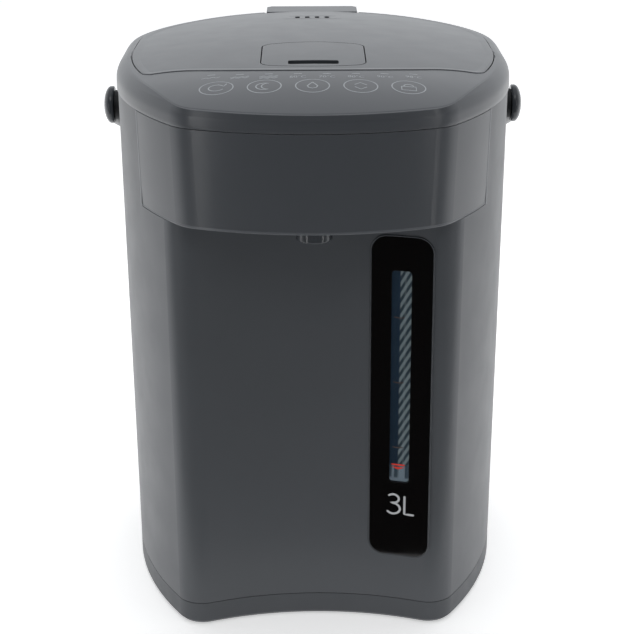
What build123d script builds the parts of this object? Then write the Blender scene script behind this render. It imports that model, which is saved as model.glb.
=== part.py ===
from build123d import *
import math
import os

# Electric thermo pot with a pumped spout. Millimetres, +Z up, +X to the right, -Y to the front.
# The origin is on the floor, on the upright axis of the pot and of the round back of the casing.

# ---------------------------------------------------------------- casing
body_half_top = 108.4       # half width of the body at its top edge
body_taper = 2.6            # it is this much narrower on each side at its bottom edge
body_half_base = body_half_top - body_taper
cover_overhang = 0.5        # the top cover stands out this far beyond the body
cover_half = body_half_top + cover_overhang
side_start = 34.0           # the straight sides end this far in front of the axis
side_radius = 200.0         # bow of the sides towards the front
front_overhang = 62.6       # the front of the cover and the spout housing, beyond the round of the back
front_reach = cover_half + front_overhang
front_radius = 155.0        # bow of that front
front_corner = 27.0
recess_depth = 35.5         # the hollow that a cup stands in, behind that front
recess_reach = front_reach - recess_depth
recess_radius = 165.0       # its hollow curve
recess_corner = 15.0
wall = 2.5
seam = 0.3                  # shadow gap between neighbouring casings

ring_lift = 1.0             # the base ring clears the floor by this much
ring_height = 12.8

# ---------------------------------------------------------------- domed top
crown_top = 308.0           # the highest point, from which the levels of the upper parts are taken
cover_depth = 23.6
cover_seam = crown_top - cover_depth        # lower edge of the top cover
housing_depth = 50.7
housing_bottom = cover_seam - housing_depth  # underside of the spout housing
crown_y = -30.0             # highest line of the dome
crown_radius = 1032.0       # front to back
crown_side_radius = 600.0   # side to side
crown_spread = 60.0         # degrees of the dome's circle that are built
dome_depth = 90.0           # the solids under the dome's surface are built this deep
dome_margin = 25.0          # and this far behind the cover
roll_length = 56.5          # the control panel rolls down over this length to the front
roll_reach = front_reach - roll_length
roll_radius = 265.0
shoulder_drop = 19.0        # the side walls start to roll inwards this far below the crown
shoulder_start = crown_top - shoulder_drop
shoulder_rise = 11.5
shoulder_run = 12.0
shoulder_steps = (0.0, 0.3, 0.56, 0.78, 0.92, 0.99)

# ---------------------------------------------------------------- lid
lid_margin = 9.0            # width of the shoulder around the lid
lid_gap = 0.6
lid_front_margin = 56.0     # the control panel's length, in front of the lid
lid_front = front_reach - lid_front_margin
lid_front_radius = 170.0
lid_wave_x = 62.0           # the front edge turns from a bow into a wave here
lid_corner_back = 14.5      # its front corners lie this far behind its front
lid_corner_y = lid_corner_back - lid_front
lid_corner_radius = 7.0
lid_cap = 1.5               # thickness of the lid's overhanging top edge
lid_step = 1.8              # its skirt stands back from that edge
well_depth = 27.0
well_floor = crown_top - well_depth
lid_lift = 0.6              # gap between the lid's skirt and the well floor
pot_room = 16.4             # between the pot's inside and the body's half width
pot_radius = body_half_top - pot_room
mouth_step = 4.0            # the mouth is this much narrower than the pot
mouth_radius = pot_radius - mouth_step
collar_wall = 5.0
collar_depth = 17.8
collar_bottom = well_floor - collar_depth
liner_clear = 4.0
liner_radius = mouth_radius - liner_clear
liner_depth = 13.0
liner_bottom = well_floor - liner_depth
liner_wall = 1.5
liner_flange = 1.5
liner_fit = 0.3
gasket_clear = 1.0
gasket_inner = mouth_radius + gasket_clear
gasket_width = 4.0
gasket_outer = gasket_inner + gasket_width
gasket_height = 2.6
steam_radius = 14.0
steam_wall = 1.4
steam_drop = 12.0
steam_top = crown_top - steam_drop
vent_count = 4
vent_pitch = 5.9
vent_width = 3.0
vent_length = 10.0
vent_y = 46.0
vent_dish_depth = 0.9

# ---------------------------------------------------------------- lid hinge
hinge_overhang = 5.1        # the pin's distance behind the cover
hinge_y = cover_half + hinge_overhang
hinge_drop = 15.4
hinge_z = crown_top - hinge_drop
hinge_pin_radius = 2.0
hinge_play = 0.05
knuckle_radius = 4.4
tongue_half = 28.7
tongue_drop = 8.0
tongue_top = crown_top - tongue_drop
tongue_skin = 2.5
tongue_overhang = 5.4       # beyond the pin
tongue_end = hinge_y + tongue_overhang
tongue_chamfer = 3.0
notch_drop = 1.0            # the notch's floor lies this far below the pin's middle
notch_floor = hinge_z - notch_drop
notch_depth = 15.0          # the notch runs this far in from the lid's back edge
ear_inner = 17.0
ear_outer = 24.0
side_gap = 0.4

# ---------------------------------------------------------------- release lever and latch
lever_half = 27.2
lever_margin = 8.5          # between the lever and the lid's front edge
lever_front = lever_margin - lid_front
lever_length = 54.5
lever_back = lever_front + lever_length
lever_bow = 5.0             # how far its front and back edges bow outwards
lever_corner = 7.0
lever_gap = 0.6
lever_thickness = 3.2
lever_depth = 5.8           # depth of the pocket it lies in
lever_pocket_wall = 2.5
lever_pocket_floor = 1.8
lever_pin_inset = 3.0
lever_pin_y = lever_back - lever_pin_inset
lever_pin_drop = 2.6        # below the lid's surface
lever_pin_radius = 1.25
lever_pin_half = 24.0
lever_pin_play = 0.05
lever_pin_hole = lever_pin_radius + lever_pin_play
lever_knuckle = 2.3
lever_knuckle_half = 10.0
lever_relief = 4.3          # room around the pin for the lever's back edge
lever_relief_skin = 0.35
slot_half = 13.2
slot_inset = 4.4            # behind the lever's front edge
slot_front = lever_front + slot_inset
slot_width = 7.3
slot_back = slot_front + slot_width
slot_round = 1.5
finger_half = 17.0
finger_inset = 1.0          # the hollow under the lever starts this far behind its front edge
finger_front = lever_front + finger_inset
finger_length = 26.0
finger_back = finger_front + finger_length
finger_drop = 15.2
finger_floor = crown_top - finger_drop
finger_top = 8.0            # its walls end this far below the crown
finger_wall = 1.5
bolt_half = 8.0
bolt_drop = 20.4
bolt_bottom = crown_top - bolt_drop
bolt_height = 3.2
bolt_grip = 3.7             # it reaches this far beyond the lid's front edge
bolt_reach = -lid_front - bolt_grip
bolt_length = 43.2
bolt_back = bolt_reach + bolt_length
bolt_play = 0.4
bolt_nose = 2.0
rail_width = 1.6
rail_lip = 1.6

# ---------------------------------------------------------------- control panel
film_thickness = 0.7
film_gap = 0.1
film_back_inset = 53.0      # the film's edges, behind the front of the cover
film_back = film_back_inset - front_reach
film_front_inset = 21.0
film_front = film_front_inset - front_reach
key_count = 5
key_pitch = 24.1
key_span = (key_count - 1) / 2 * key_pitch
film_side = 13.8            # the film reaches this far beyond the outer keys
film_half = key_span + film_side
key_inset = 32.7
key_y = key_inset - front_reach
key_arc = 1000.0            # the row of keys falls back by x squared over this
key_radius = 3.8
key_play = 0.4
key_flange = 5.2
key_flange_thickness = 1.5
key_travel = 0.3
key_lift = 0.4              # free air between a key and its switch
light_count = 8
light_side = 3.46           # the outer lights stand this far outside the outer keys
light_pitch = 2 * (key_span + light_side) / (light_count - 1)
light_inset = 50.0
light_y = light_inset - front_reach
light_arc = 450.0
light_size = (4.4, 1.2)
board_thickness = 1.6
board_drop = 22.5
board_level = crown_top - board_drop
board_side = 11.8           # the board reaches this far beyond the outer keys
board_size = (2 * (key_span + board_side), 34.0)
board_inset = 34.3
board_y = board_inset - front_reach
board_boss = 3.0
boss_margin = (6.0, 5.0)    # from the edges of the board to its bosses
board_boss_x = board_size[0] / 2 - boss_margin[0]
board_boss_reach = board_size[1] / 2 - boss_margin[1]
board_screw = 1.2
board_screw_head = 2.4
switch_size = 6.0
switch_height = 3.5
switch_button = 0.8

# ---------------------------------------------------------------- spout
joggle = 1.2                # depth of the seat that the housing lies in
housing_wall = 2.2
housing_side_inset = 21.0   # the housing's side edges, behind the front of the recess
housing_side_y = housing_side_inset - recess_reach
housing_chamfer = 1.0
housing_taper = 1.2
housing_floor = 2.5
spout_inset = 13.3
spout_y = spout_inset - front_reach
spout_radius = 9.2
spout_play = 0.15
spout_bore = 3.2
spout_mouth = 6.5
spout_mouth_depth = 6.0
spout_drop = 6.5            # below the housing
spout_bottom = housing_bottom - spout_drop
spout_flange = 10.8
spout_flange_thickness = 2.0
spout_rise = 18.3
spout_top = housing_bottom + spout_rise
riser_rise = 14.0
riser_top = spout_top + riser_rise
service_half = 52.0         # opening in the body wall behind the housing
service_rise = 10.3
service_bottom = housing_bottom + service_rise
service_drop = 6.4
service_top = cover_seam - service_drop

# ---------------------------------------------------------------- water gauge
gauge_x = 45.3
gauge_width = 31.4
gauge_bottom = 41.2
gauge_drop = 10.1           # below the housing
gauge_top = housing_bottom - gauge_drop
gauge_corner = 8.0
gauge_proud = 0.4
bezel_flange = 3.0
bezel_flange_thickness = 1.4
window_width = 10.2
window_bottom = 85.0
window_drop = 18.4
window_top = gauge_top - window_drop
window_corner = 1.8
window_rim = 1.9
window_depth = 1.6          # the clear strip lies this far behind the bezel's face
window_thickness = 2.2
tube_radius = 4.5
tube_inset = 5.2            # behind the front of the recess
tube_y = tube_inset - recess_reach
tube_bottom = 62.0
tube_drop = 1.6
tube_top = gauge_top - tube_drop
tube_bore = 3.3
channel_half = 9.0
channel_inner = 6.0
channel_clear = 7.4         # from the tube's middle to the channel's back
channel_back = tube_y + channel_clear
channel_wall = 2.0
channel_end = 4.0           # the channel is this much longer than the tube at each end
channel_bottom = tube_bottom - channel_end
channel_top = tube_top + channel_end

# ---------------------------------------------------------------- pot and heating
pot_wall = 1.0
pot_floor = 68.0
pot_corner = 8.0
base_lip = 0.5              # flat lip inside the corner, which the pot's base is welded to
base_edge = pot_radius - pot_corner - base_lip
seal_height = 2.7           # the seal fills this gap between the pot's rim and the collar
pot_rim = collar_bottom - seal_height
pot_flange_width = 4.5
pot_flange = pot_radius + pot_flange_width
sleeve_gap = 0.4
sleeve_thickness = 4.0
sleeve_bottom = 84.0
sleeve_drop = 12.5
sleeve_top = pot_rim - sleeve_drop
heater_radius = 54.0
heater_thickness = 6.0
heater_gap = 0.1
thermostat_radius = 10.0
thermostat_height = 8.0
thermostat_tab = (3.0, 0.8, 8.0)    # width, thickness and length of its two tabs
fuse_place = (26.0, 13.0)
fuse_size = (16.0, 6.0, 4.9)
bracket_inner = 46.0
bracket_outer = 70.0
leg_count = 3
leg_circle = 64.0
leg_radius = 4.0
bracket_thickness = 2.5
drain_inset = 15.0
drain_y = drain_inset - pot_radius
drain_radius = 5.0
drain_bore = 4.2
drain_length = 8.0

# ---------------------------------------------------------------- pump
motor_radius = 14.0
motor_bottom = 8.0
motor_height = 24.0
pump_radius = 21.0
pump_height = 15.0
pump_wall = 2.0
impeller_radius = 15.0
impeller_height = 5.0
blade_count = 6
blade_thickness = 1.6
shaft_radius = 1.5
shaft_play = 0.08
spigot_radius = 4.5
spigot_bore = 3.2
spigot_length = 9.0
hose_wall = 1.7
hose_play = 0.1
hose_bend = 12.0
hose_overlap = 8.0
hose_inset = 16.0
hose_front = hose_inset - recess_reach

# ---------------------------------------------------------------- base and power
ring_roll = 2.0
ring_flange = 6.0
ring_flange_thickness = 2.5
lip_height = 4.2
lip_clear = 0.2
lip_wall = 1.8
lip_end = 30.0              # the cover's lip ends this far behind the lid's front edge
plate_gap = 0.2
plate_thickness = 2.5
foot_inset = 7.8            # inside the body's bottom edge
foot_outer = body_half_base - foot_inset
foot_width = 12.0
foot_inner = foot_outer - foot_width
post_radius = 3.5
post_inset = 5.0            # from the edges of the power board to its posts
screw_radius = 1.6
screw_head = 3.0
power_board_size = (84.0, 50.0)
power_board_y = 30.0
power_board_level = 12.0
# parts on the power board: middle, from the board's middle, then width, length and height
board_blocks = (
    ((-24.0, -3.0), (24.0, 22.0), 22.0),    # transformer
    ((5.0, 2.0), (18.0, 16.0), 15.0),       # relay
    ((29.0, -10.0), (18.0, 16.0), 10.0),    # heater terminals
)
board_cans = (
    ((22.0, 12.0), 5.0, 18.0),  # radius and height of a capacitor
    ((34.0, 12.0), 5.0, 18.0),
    ((-34.0, 17.0), 3.0, 8.0),
    ((-24.0, 17.0), 3.0, 8.0),
)
inlet_width = 46.0
inlet_height = 26.0
inlet_z = 42.0
inlet_recess_width = 34.0
inlet_recess_height = 16.0
inlet_recess_depth = 14.0
inlet_inset = 2.8           # behind the body's bottom edge
inlet_face = body_half_base - inlet_inset
inlet_depth = 22.0
inlet_fit = 0.3
inlet_flange = 3.0
inlet_flange_thickness = 2.5
pin_length = 8.0
pin_radius = 1.6
pin_pitch = 10.0

# ---------------------------------------------------------------- carrying handle
pivot_drop = 22.4           # below the top cover
pivot_z = cover_seam - pivot_drop
pivot_radius = 3.0
pivot_boss = 8.5
handle_clear = 7.0          # from the top cover to the handle's arms
handle_inner = cover_half + handle_clear
handle_thickness = 5.4
handle_play = 0.05
handle_extra = 15.1         # its inside reach is this much more than its inside half width
handle_reach = handle_inner + handle_extra
handle_grip = 6.5
handle_width = 16.0
handle_round = 2.0
handle_hub = 10.8
handle_rest = 22.0          # it lies this many degrees below level, behind the body
cap_radius = 8.6
cap_pocket = 2.2
cap_thickness = 0.9
cap_dome = 0.8

os.makedirs("parts", exist_ok=True)

cover_front = (-front_reach, front_radius, front_corner)
recess_front = (-recess_reach, -recess_radius, recess_corner)
body_top = cover_seam - seam
ring_top = ring_lift + ring_height
body_bottom = ring_top + seam
lid_half = cover_half - lid_margin
lid_bottom = well_floor + lid_lift
sky = crown_top + 4
beyond = front_reach + cover_half     # farther out than any piece of the casing


def save(piece, node):
    piece.part.label = node
    export_step(piece.part, f"parts/{node}.step")


def body_half(level):
    """Half width of the tapering body at a height."""
    share = (level - ring_lift) / (body_top - ring_lift)
    return body_half_base + (body_half_top - body_half_base) * share


def meet(centre_a, radius_a, centre_b, radius_b):
    """Right-hand meeting point of two circles."""
    dx, dy = centre_b[0] - centre_a[0], centre_b[1] - centre_a[1]
    gap = math.hypot(dx, dy)
    along = (radius_a**2 - radius_b**2 + gap**2) / (2 * gap)
    across = math.sqrt(radius_a**2 - along**2)
    foot = (centre_a[0] + along * dx / gap, centre_a[1] + along * dy / gap)
    return max((foot[0] + side * across * dy / gap, foot[1] - side * across * dx / gap) for side in (1, -1))


def towards(centre, target, radius):
    """Point at a radius from a centre, in the direction of a target."""
    dx, dy = target[0] - centre[0], target[1] - centre[1]
    gap = math.hypot(dx, dy)
    return (centre[0] + radius * dx / gap, centre[1] + radius * dy / gap)


def between(centre, a, b, radius):
    """Middle of the short arc from a to b."""
    return towards(centre, ((a[0] + b[0]) / 2, (a[1] + b[1]) / 2), radius)


def plan(level, half, front, inset=0.0):
    """Plan of the casing: round back, bowed sides, and a front that is bowed out or hollowed in."""
    front_y, bow, corner = front
    half, corner, side = half - inset, corner - inset, side_radius - inset
    front_y, bow = front_y + inset, bow - inset
    side_centre = (half - side, -side_start)
    front_centre = (0, front_y + bow)
    corner_centre = meet(side_centre, side - corner, front_centre, abs(bow - corner))
    side_end = towards(side_centre, corner_centre, side)
    front_end = towards(front_centre, corner_centre, abs(bow))
    side_from = (half, -side_start)
    with BuildSketch(Plane.XY.offset(level)) as sketch:
        with BuildLine():
            ThreePointArc((0, half), (half * math.sin(math.pi / 4), half * math.cos(math.pi / 4)), (half, 0))
            Line((half, 0), side_from)
            ThreePointArc(side_from, between(side_centre, side_from, side_end, side), side_end)
            ThreePointArc(side_end, between(corner_centre, side_end, front_end, corner), front_end)
            ThreePointArc(front_end, between(front_centre, front_end, (0, front_y), abs(bow)), (0, front_y))
            mirror(about=Plane.YZ)
        make_face()
    return sketch.sketch


def lid_plan(level, grow=0.0):
    """Plan of the lid: round back, bowed sides and a bowed front edge that waves at its ends."""
    half = lid_half + grow
    side = side_radius - lid_margin
    side_centre = (lid_half - side, -side_start)
    side_end = (side_centre[0] + math.sqrt(side**2 - (lid_corner_y + side_start) ** 2), lid_corner_y)
    bow_centre = (0, lid_front_radius - lid_front)
    bow_end = (lid_wave_x, bow_centre[1] - math.sqrt(lid_front_radius**2 - lid_wave_x**2))
    # the wave's circle touches the bow at its end and runs through the corner
    out = towards((0, 0), (bow_end[0] - bow_centre[0], bow_end[1] - bow_centre[1]), 1)
    dx, dy = bow_end[0] - side_end[0], bow_end[1] - side_end[1]
    wave = -(dx**2 + dy**2) / (2 * (dx * out[0] + dy * out[1]))
    wave_centre = (bow_end[0] + out[0] * wave, bow_end[1] + out[1] * wave)
    side, bow, wave = side + grow, lid_front_radius + grow, wave - grow
    bow_end = towards(bow_centre, bow_end, bow)
    corner = meet(side_centre, side, wave_centre, wave)
    side_from = (half, -side_start)
    with BuildSketch(Plane.XY.offset(level)) as sketch:
        with BuildLine():
            turn = math.sqrt(0.5) * half
            ThreePointArc((0, half), (turn, turn), (half, 0))
            Line((half, 0), side_from)
            ThreePointArc(side_from, between(side_centre, side_from, corner, side), corner)
            ThreePointArc(corner, between(wave_centre, corner, bow_end, wave), bow_end)
            front = (0, bow_centre[1] - bow)
            ThreePointArc(bow_end, between(bow_centre, bow_end, front, bow), front)
            mirror(about=Plane.YZ)
        make_face()
        corners = sketch.vertices().filter_by(lambda v: abs(abs(v.X) - corner[0]) < 0.01)
        fillet(corners, lid_corner_radius + grow)
    return sketch.sketch


def lever_plan(level, grow=0.0):
    """Plan of the release lever: a plate with bowed front and back edges."""
    with BuildSketch(Plane.XY.offset(level)) as sketch:
        with BuildLine():
            back = lever_back - lever_bow
            front = lever_front + lever_bow
            ThreePointArc((-lever_half, back), (0, lever_back), (lever_half, back))
            Line((lever_half, back), (lever_half, front))
            ThreePointArc((lever_half, front), (0, lever_front), (-lever_half, front))
            Line((-lever_half, front), (-lever_half, back))
        make_face()
        fillet(sketch.vertices(), lever_corner)
        if grow:
            offset(amount=grow)
    return sketch.sketch


def film_plan(level, grow=0.0):
    """Plan of the control film, bowed like the edges of the panel."""
    back_end = film_back + film_half**2 / light_arc
    front_end = film_front + film_half**2 / key_arc
    with BuildSketch(Plane.XY.offset(level)) as sketch:
        with BuildLine():
            ThreePointArc((-film_half, back_end), (0, film_back), (film_half, back_end))
            Line((film_half, back_end), (film_half, front_end))
            ThreePointArc((film_half, front_end), (0, film_front), (-film_half, front_end))
            Line((-film_half, front_end), (-film_half, back_end))
        make_face()
        fillet(sketch.vertices(), lever_corner)
        if grow:
            offset(amount=grow)
    return sketch.sketch


def crown(drop):
    """Everything below the domed top surface, lowered by a wall thickness."""
    axis_z = crown_top - crown_side_radius
    dome_axis = Axis((0, 0, axis_z), (0, 1, 0))
    low = crown_top - dome_depth
    back_y = cover_half + dome_margin
    start = math.degrees(math.acos((back_y - crown_y) / crown_radius))
    end = 90 + math.degrees(math.asin((roll_reach + crown_y) / crown_radius))
    with BuildPart() as dome:
        with BuildSketch(Plane.YZ):
            with BuildLine():
                top = CenterArc((crown_y, crown_top - crown_radius), crown_radius - drop, start, end - start)
                roll = JernArc(top @ 1, top % 1, roll_radius - drop, 18)
                Polyline(roll @ 1, ((roll @ 1).X, low), ((top @ 0).X, low), top @ 0)
            make_face()
        revolve(axis=dome_axis, revolution_arc=crown_spread)
    return dome.part.rotate(dome_axis, -crown_spread / 2)


def crown_height(x, y):
    """Height of the domed top surface."""
    if y >= -roll_reach:
        ridge = crown_top - crown_radius + math.sqrt(crown_radius**2 - (y - crown_y) ** 2)
    else:
        lean = (roll_reach + crown_y) / crown_radius
        drop = math.sqrt(1 - lean**2)
        centre_z = crown_top - crown_radius + (crown_radius - roll_radius) * drop
        centre_y = crown_y - (crown_radius - roll_radius) * lean
        ridge = centre_z + math.sqrt(roll_radius**2 - (y - centre_y) ** 2)
    axis_z = crown_top - crown_side_radius
    return axis_z + math.sqrt((ridge - axis_z) ** 2 - x**2)


def recess_wall(depth, x):
    """Y of the recess wall at a depth behind its face."""
    centre_y = -recess_reach - recess_radius
    return centre_y + math.sqrt((recess_radius + depth) ** 2 - x**2)


def slab(plan_face, height):
    """Upright prism of a plan."""
    with BuildPart() as prism:
        add(plan_face)
        extrude(amount=height)
    return prism.part


def casing(bottom, top, half, front, inset):
    """Upright prism with the plan of the casing."""
    return slab(plan(bottom, half, front, inset), top - bottom)


def block(x0, x1, y0, y1, z0, z1):
    """Plain box between two corners."""
    with BuildPart() as piece:
        with Locations(((x0 + x1) / 2, (y0 + y1) / 2, (z0 + z1) / 2)):
            Box(x1 - x0, y1 - y0, z1 - z0)
    return piece.part


def tube(x, y, bottom, top, radius, bore=0.0):
    """Upright cylinder or tube."""
    with BuildPart() as piece:
        with BuildSketch(Plane.XY.offset(bottom)):
            with Locations((x, y)):
                Circle(radius)
                if bore:
                    Circle(bore, mode=Mode.SUBTRACT)
        extrude(amount=top - bottom)
    return piece.part


def rod(y, z, half, radius, start=None):
    """Cylinder along X, on both sides of the middle or from a start to an end."""
    first = -half if start is None else start
    with BuildPart() as piece:
        with BuildSketch(Plane.YZ.offset(first)):
            with Locations((y, z)):
                Circle(radius)
        extrude(amount=half - first)
    return piece.part


def hose(points, bend, radius, bore):
    """Round hose along a path with rounded corners."""
    with BuildPart() as piece:
        with BuildLine() as path:
            FilletPolyline(*points, radius=bend)
        for size, mode in ((radius, Mode.ADD), (bore, Mode.SUBTRACT)):
            with BuildSketch(Plane(origin=path.line @ 0, z_dir=path.line % 0)):
                Circle(size)
            sweep(path=path.line, mode=mode)
    return piece.part


def gauge_plate(width, bottom, top, corner, near, far):
    """Upright rounded plate of the water gauge, curved like the wall around it."""
    centre_y = -recess_reach - recess_radius
    with BuildPart() as piece:
        with BuildSketch(Plane.XZ.offset(-centre_y - recess_radius - 20)):
            with Locations((gauge_x, (bottom + top) / 2)):
                RectangleRounded(width, top - bottom, corner)
        extrude(amount=45)
        add(tube(0, centre_y, bottom - 1, top + 1, far, near), mode=Mode.INTERSECT)
    return piece.part


crown_face = crown(0)
crown_wall = crown(wall)



def bowed_row(count, pitch, y, arc):
    """Places of a row that falls back towards its ends."""
    places = [(i - (count - 1) / 2) * pitch for i in range(count)]
    return [(x, y + x**2 / arc) for x in places]


key_places = bowed_row(key_count, key_pitch, key_y, key_arc)
light_places = bowed_row(light_count, light_pitch, light_y, light_arc)

# ---------------------------------------------------------------- body shell
seat_half = body_half(housing_bottom)
seat_bottom = housing_bottom - seam
with BuildPart() as seat_cut:
    add(block(-cover_half, cover_half, -front_reach, housing_side_y + seam, seat_bottom, sky))
    add(casing(seat_bottom, sky, seat_half, recess_front, joggle + 0.2), mode=Mode.SUBTRACT)

with BuildPart() as body_shell:
    for inset, mode in ((0.0, Mode.ADD), (wall, Mode.SUBTRACT)):
        add(plan(body_bottom, body_half(body_bottom), recess_front, inset))
        add(plan(body_top, body_half(body_top), recess_front, inset))
        loft(ruled=True, mode=mode)
    add(seat_cut.part, mode=Mode.SUBTRACT)
    # opening for the hose behind the spout housing
    service_y = recess_wall(0, service_half) - 1
    add(
        block(-service_half, service_half, service_y, recess_wall(wall, 0) + 3, service_bottom, service_top),
        mode=Mode.SUBTRACT,
    )
    # opening for the water gauge
    add(
        gauge_plate(
            gauge_width + 0.5,
            gauge_bottom - 0.25,
            gauge_top + 0.25,
            gauge_corner,
            recess_radius - 2,
            recess_radius + wall + 2,
        ),
        mode=Mode.SUBTRACT,
    )
    # holes for the handle pivots and the power inlet
    add(rod(0, pivot_z, body_half_top + 2, spigot_radius + 1.6), mode=Mode.SUBTRACT)
    add(
        block(
            -inlet_width / 2 - inlet_fit,
            inlet_width / 2 + inlet_fit,
            inlet_face - 10,
            body_half_top + 2,
            inlet_z - inlet_height / 2 - inlet_fit,
            inlet_z + inlet_height / 2 + inlet_fit,
        ),
        mode=Mode.SUBTRACT,
    )
save(body_shell, "body_shell")

# ---------------------------------------------------------------- base
ring_half = body_half(ring_top)
flange_top = ring_lift + ring_flange_thickness
lip_inset = wall + lip_clear
with BuildPart() as base_ring:
    add(plan(ring_lift, ring_half, recess_front, ring_roll))
    add(plan(ring_lift + ring_roll, ring_half, recess_front))
    add(plan(ring_top, ring_half, recess_front))
    loft(ruled=True)
    add(casing(ring_top - 1, ring_top + lip_height, ring_half, recess_front, lip_inset))
    add(casing(ring_top - 4, sky, ring_half, recess_front, lip_inset + lip_wall), mode=Mode.SUBTRACT)
    add(casing(flange_top, ring_top - 4, ring_half, recess_front, wall), mode=Mode.SUBTRACT)
    add(casing(0, flange_top, ring_half, recess_front, ring_flange), mode=Mode.SUBTRACT)
save(base_ring, "base_ring")

plate_bottom = flange_top + plate_gap
plate_top = plate_bottom + plate_thickness
leg_turns = [math.radians(90 + i * 360 / leg_count) for i in range(leg_count)]
legs = [(leg_circle * math.cos(turn), leg_circle * math.sin(turn)) for turn in leg_turns]
posts = [
    (x * (power_board_size[0] / 2 - post_inset), power_board_y + y * (power_board_size[1] / 2 - post_inset))
    for x in (-1, 1)
    for y in (-1, 1)
]
with BuildPart() as base_plate:
    add(casing(plate_bottom, plate_top, ring_half, recess_front, wall + 0.3))
    for x, y in posts:
        add(tube(x, y, plate_top, power_board_level, post_radius))
    add(tube(0, drain_y, plate_top, motor_bottom, motor_radius + 2))
    for x, y in legs:
        add(tube(x, y, plate_bottom, plate_top, screw_radius + 0.3), mode=Mode.SUBTRACT)
    with BuildSketch(Plane.XY.offset(plate_bottom)):
        with GridLocations(9, 0, 5, 1):
            SlotOverall(30, 3, rotation=90)
    extrude(amount=plate_thickness, mode=Mode.SUBTRACT)
save(base_plate, "base_plate")

with BuildPart() as foot_ring:
    add(tube(0, 0, 0, plate_bottom, foot_outer, foot_inner))
    fillet(foot_ring.edges().group_by(Axis.Z)[0], 0.8)
save(foot_ring, "foot_ring")

with BuildPart() as base_screws:
    for x, y in legs:
        add(tube(x, y, plate_bottom - 1.6, plate_bottom, screw_head))
        add(tube(x, y, plate_bottom, plate_top + 10, screw_radius))
save(base_screws, "base_screws")

# ---------------------------------------------------------------- inner pot and heating
heater_top = pot_floor - pot_wall - heater_gap
heater_bottom = heater_top - heater_thickness
with BuildPart() as inner_pot:
    with BuildSketch(Plane.XZ) as pot_profile:
        with BuildLine():
            outer = pot_radius + pot_wall
            Polyline(
                (base_edge, pot_floor - pot_wall),
                (outer, pot_floor - pot_wall),
                (outer, pot_rim - pot_wall),
                (pot_flange, pot_rim - pot_wall),
                (pot_flange, pot_rim),
                (pot_radius, pot_rim),
                (pot_radius, pot_floor),
                (base_edge, pot_floor),
                close=True,
            )
        make_face()
        for corner_x, corner_z, radius in (
            (outer, pot_floor - pot_wall, pot_corner + pot_wall),
            (pot_radius, pot_floor, pot_corner),
        ):
            fillet(pot_profile.vertices().sort_by_distance((corner_x, corner_z, 0))[0], radius)
    revolve(axis=Axis.Z)
save(inner_pot, "inner_pot")

with BuildPart() as pot_base:
    add(tube(0, 0, pot_floor - pot_wall, pot_floor, base_edge))
    add(tube(0, drain_y, pot_floor - pot_wall - drain_length, pot_floor - pot_wall, drain_radius))
    add(tube(0, drain_y, 0, pot_floor + 1, drain_bore), mode=Mode.SUBTRACT)
save(pot_base, "pot_base")

with BuildPart() as pot_seal:
    add(tube(0, 0, pot_rim + 0.1, collar_bottom - 0.1, mouth_radius + collar_wall, mouth_radius + 1.5))
save(pot_seal, "pot_seal")

with BuildPart() as insulation_sleeve:
    inner = pot_radius + pot_wall + sleeve_gap
    add(tube(0, 0, sleeve_bottom, sleeve_top, inner + sleeve_thickness, inner))
save(insulation_sleeve, "insulation_sleeve")

with BuildPart() as heater_plate:
    add(tube(0, 0, heater_bottom, heater_top, heater_radius))
save(heater_plate, "heater_plate")

bracket_top = heater_bottom - heater_gap
bracket_bottom = bracket_top - bracket_thickness
with BuildPart() as pot_bracket:
    add(tube(0, 0, bracket_bottom, bracket_top, bracket_outer, bracket_inner))
    for x, y in legs:
        add(tube(x, y, plate_top + 0.1, bracket_bottom, leg_radius))
        add(tube(x, y, plate_top, plate_top + 12, screw_radius + 0.05), mode=Mode.SUBTRACT)
    # room for the drain pipe and its hose
    add(tube(0, drain_y, 0, bracket_top + 1, drain_radius + hose_wall + 1.5), mode=Mode.SUBTRACT)
save(pot_bracket, "pot_bracket")

thermostat_bottom = heater_bottom - thermostat_height
with BuildPart() as thermostat:
    add(tube(0, 0, thermostat_bottom, heater_bottom - heater_gap, thermostat_radius))
    tab_width, tab_thickness, tab_length = thermostat_tab
    for x in (-thermostat_radius / 2, thermostat_radius / 2):
        x0, x1 = x - tab_width / 2, x + tab_width / 2
        tab_end = thermostat_bottom - tab_length
        add(block(x0, x1, -tab_thickness / 2, tab_thickness / 2, tab_end, thermostat_bottom))
save(thermostat, "thermostat")

with BuildPart() as thermal_fuse:
    x, y = fuse_place
    width, length, height = fuse_size
    fuse_top = heater_bottom - heater_gap
    add(block(x - width / 2, x + width / 2, y - length / 2, y + length / 2, fuse_top - height, fuse_top))
save(thermal_fuse, "thermal_fuse")

# ---------------------------------------------------------------- pump
motor_top = motor_bottom + motor_height
pump_bottom = motor_top + 0.2
pump_top = pump_bottom + pump_height
outlet_z = pump_bottom + pump_height / 2
with BuildPart() as pump_motor:
    add(tube(0, drain_y, motor_bottom, motor_top, motor_radius))
    add(tube(0, drain_y, motor_top - 8, motor_top, shaft_radius + shaft_play), mode=Mode.SUBTRACT)
save(pump_motor, "pump_motor")

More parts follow.
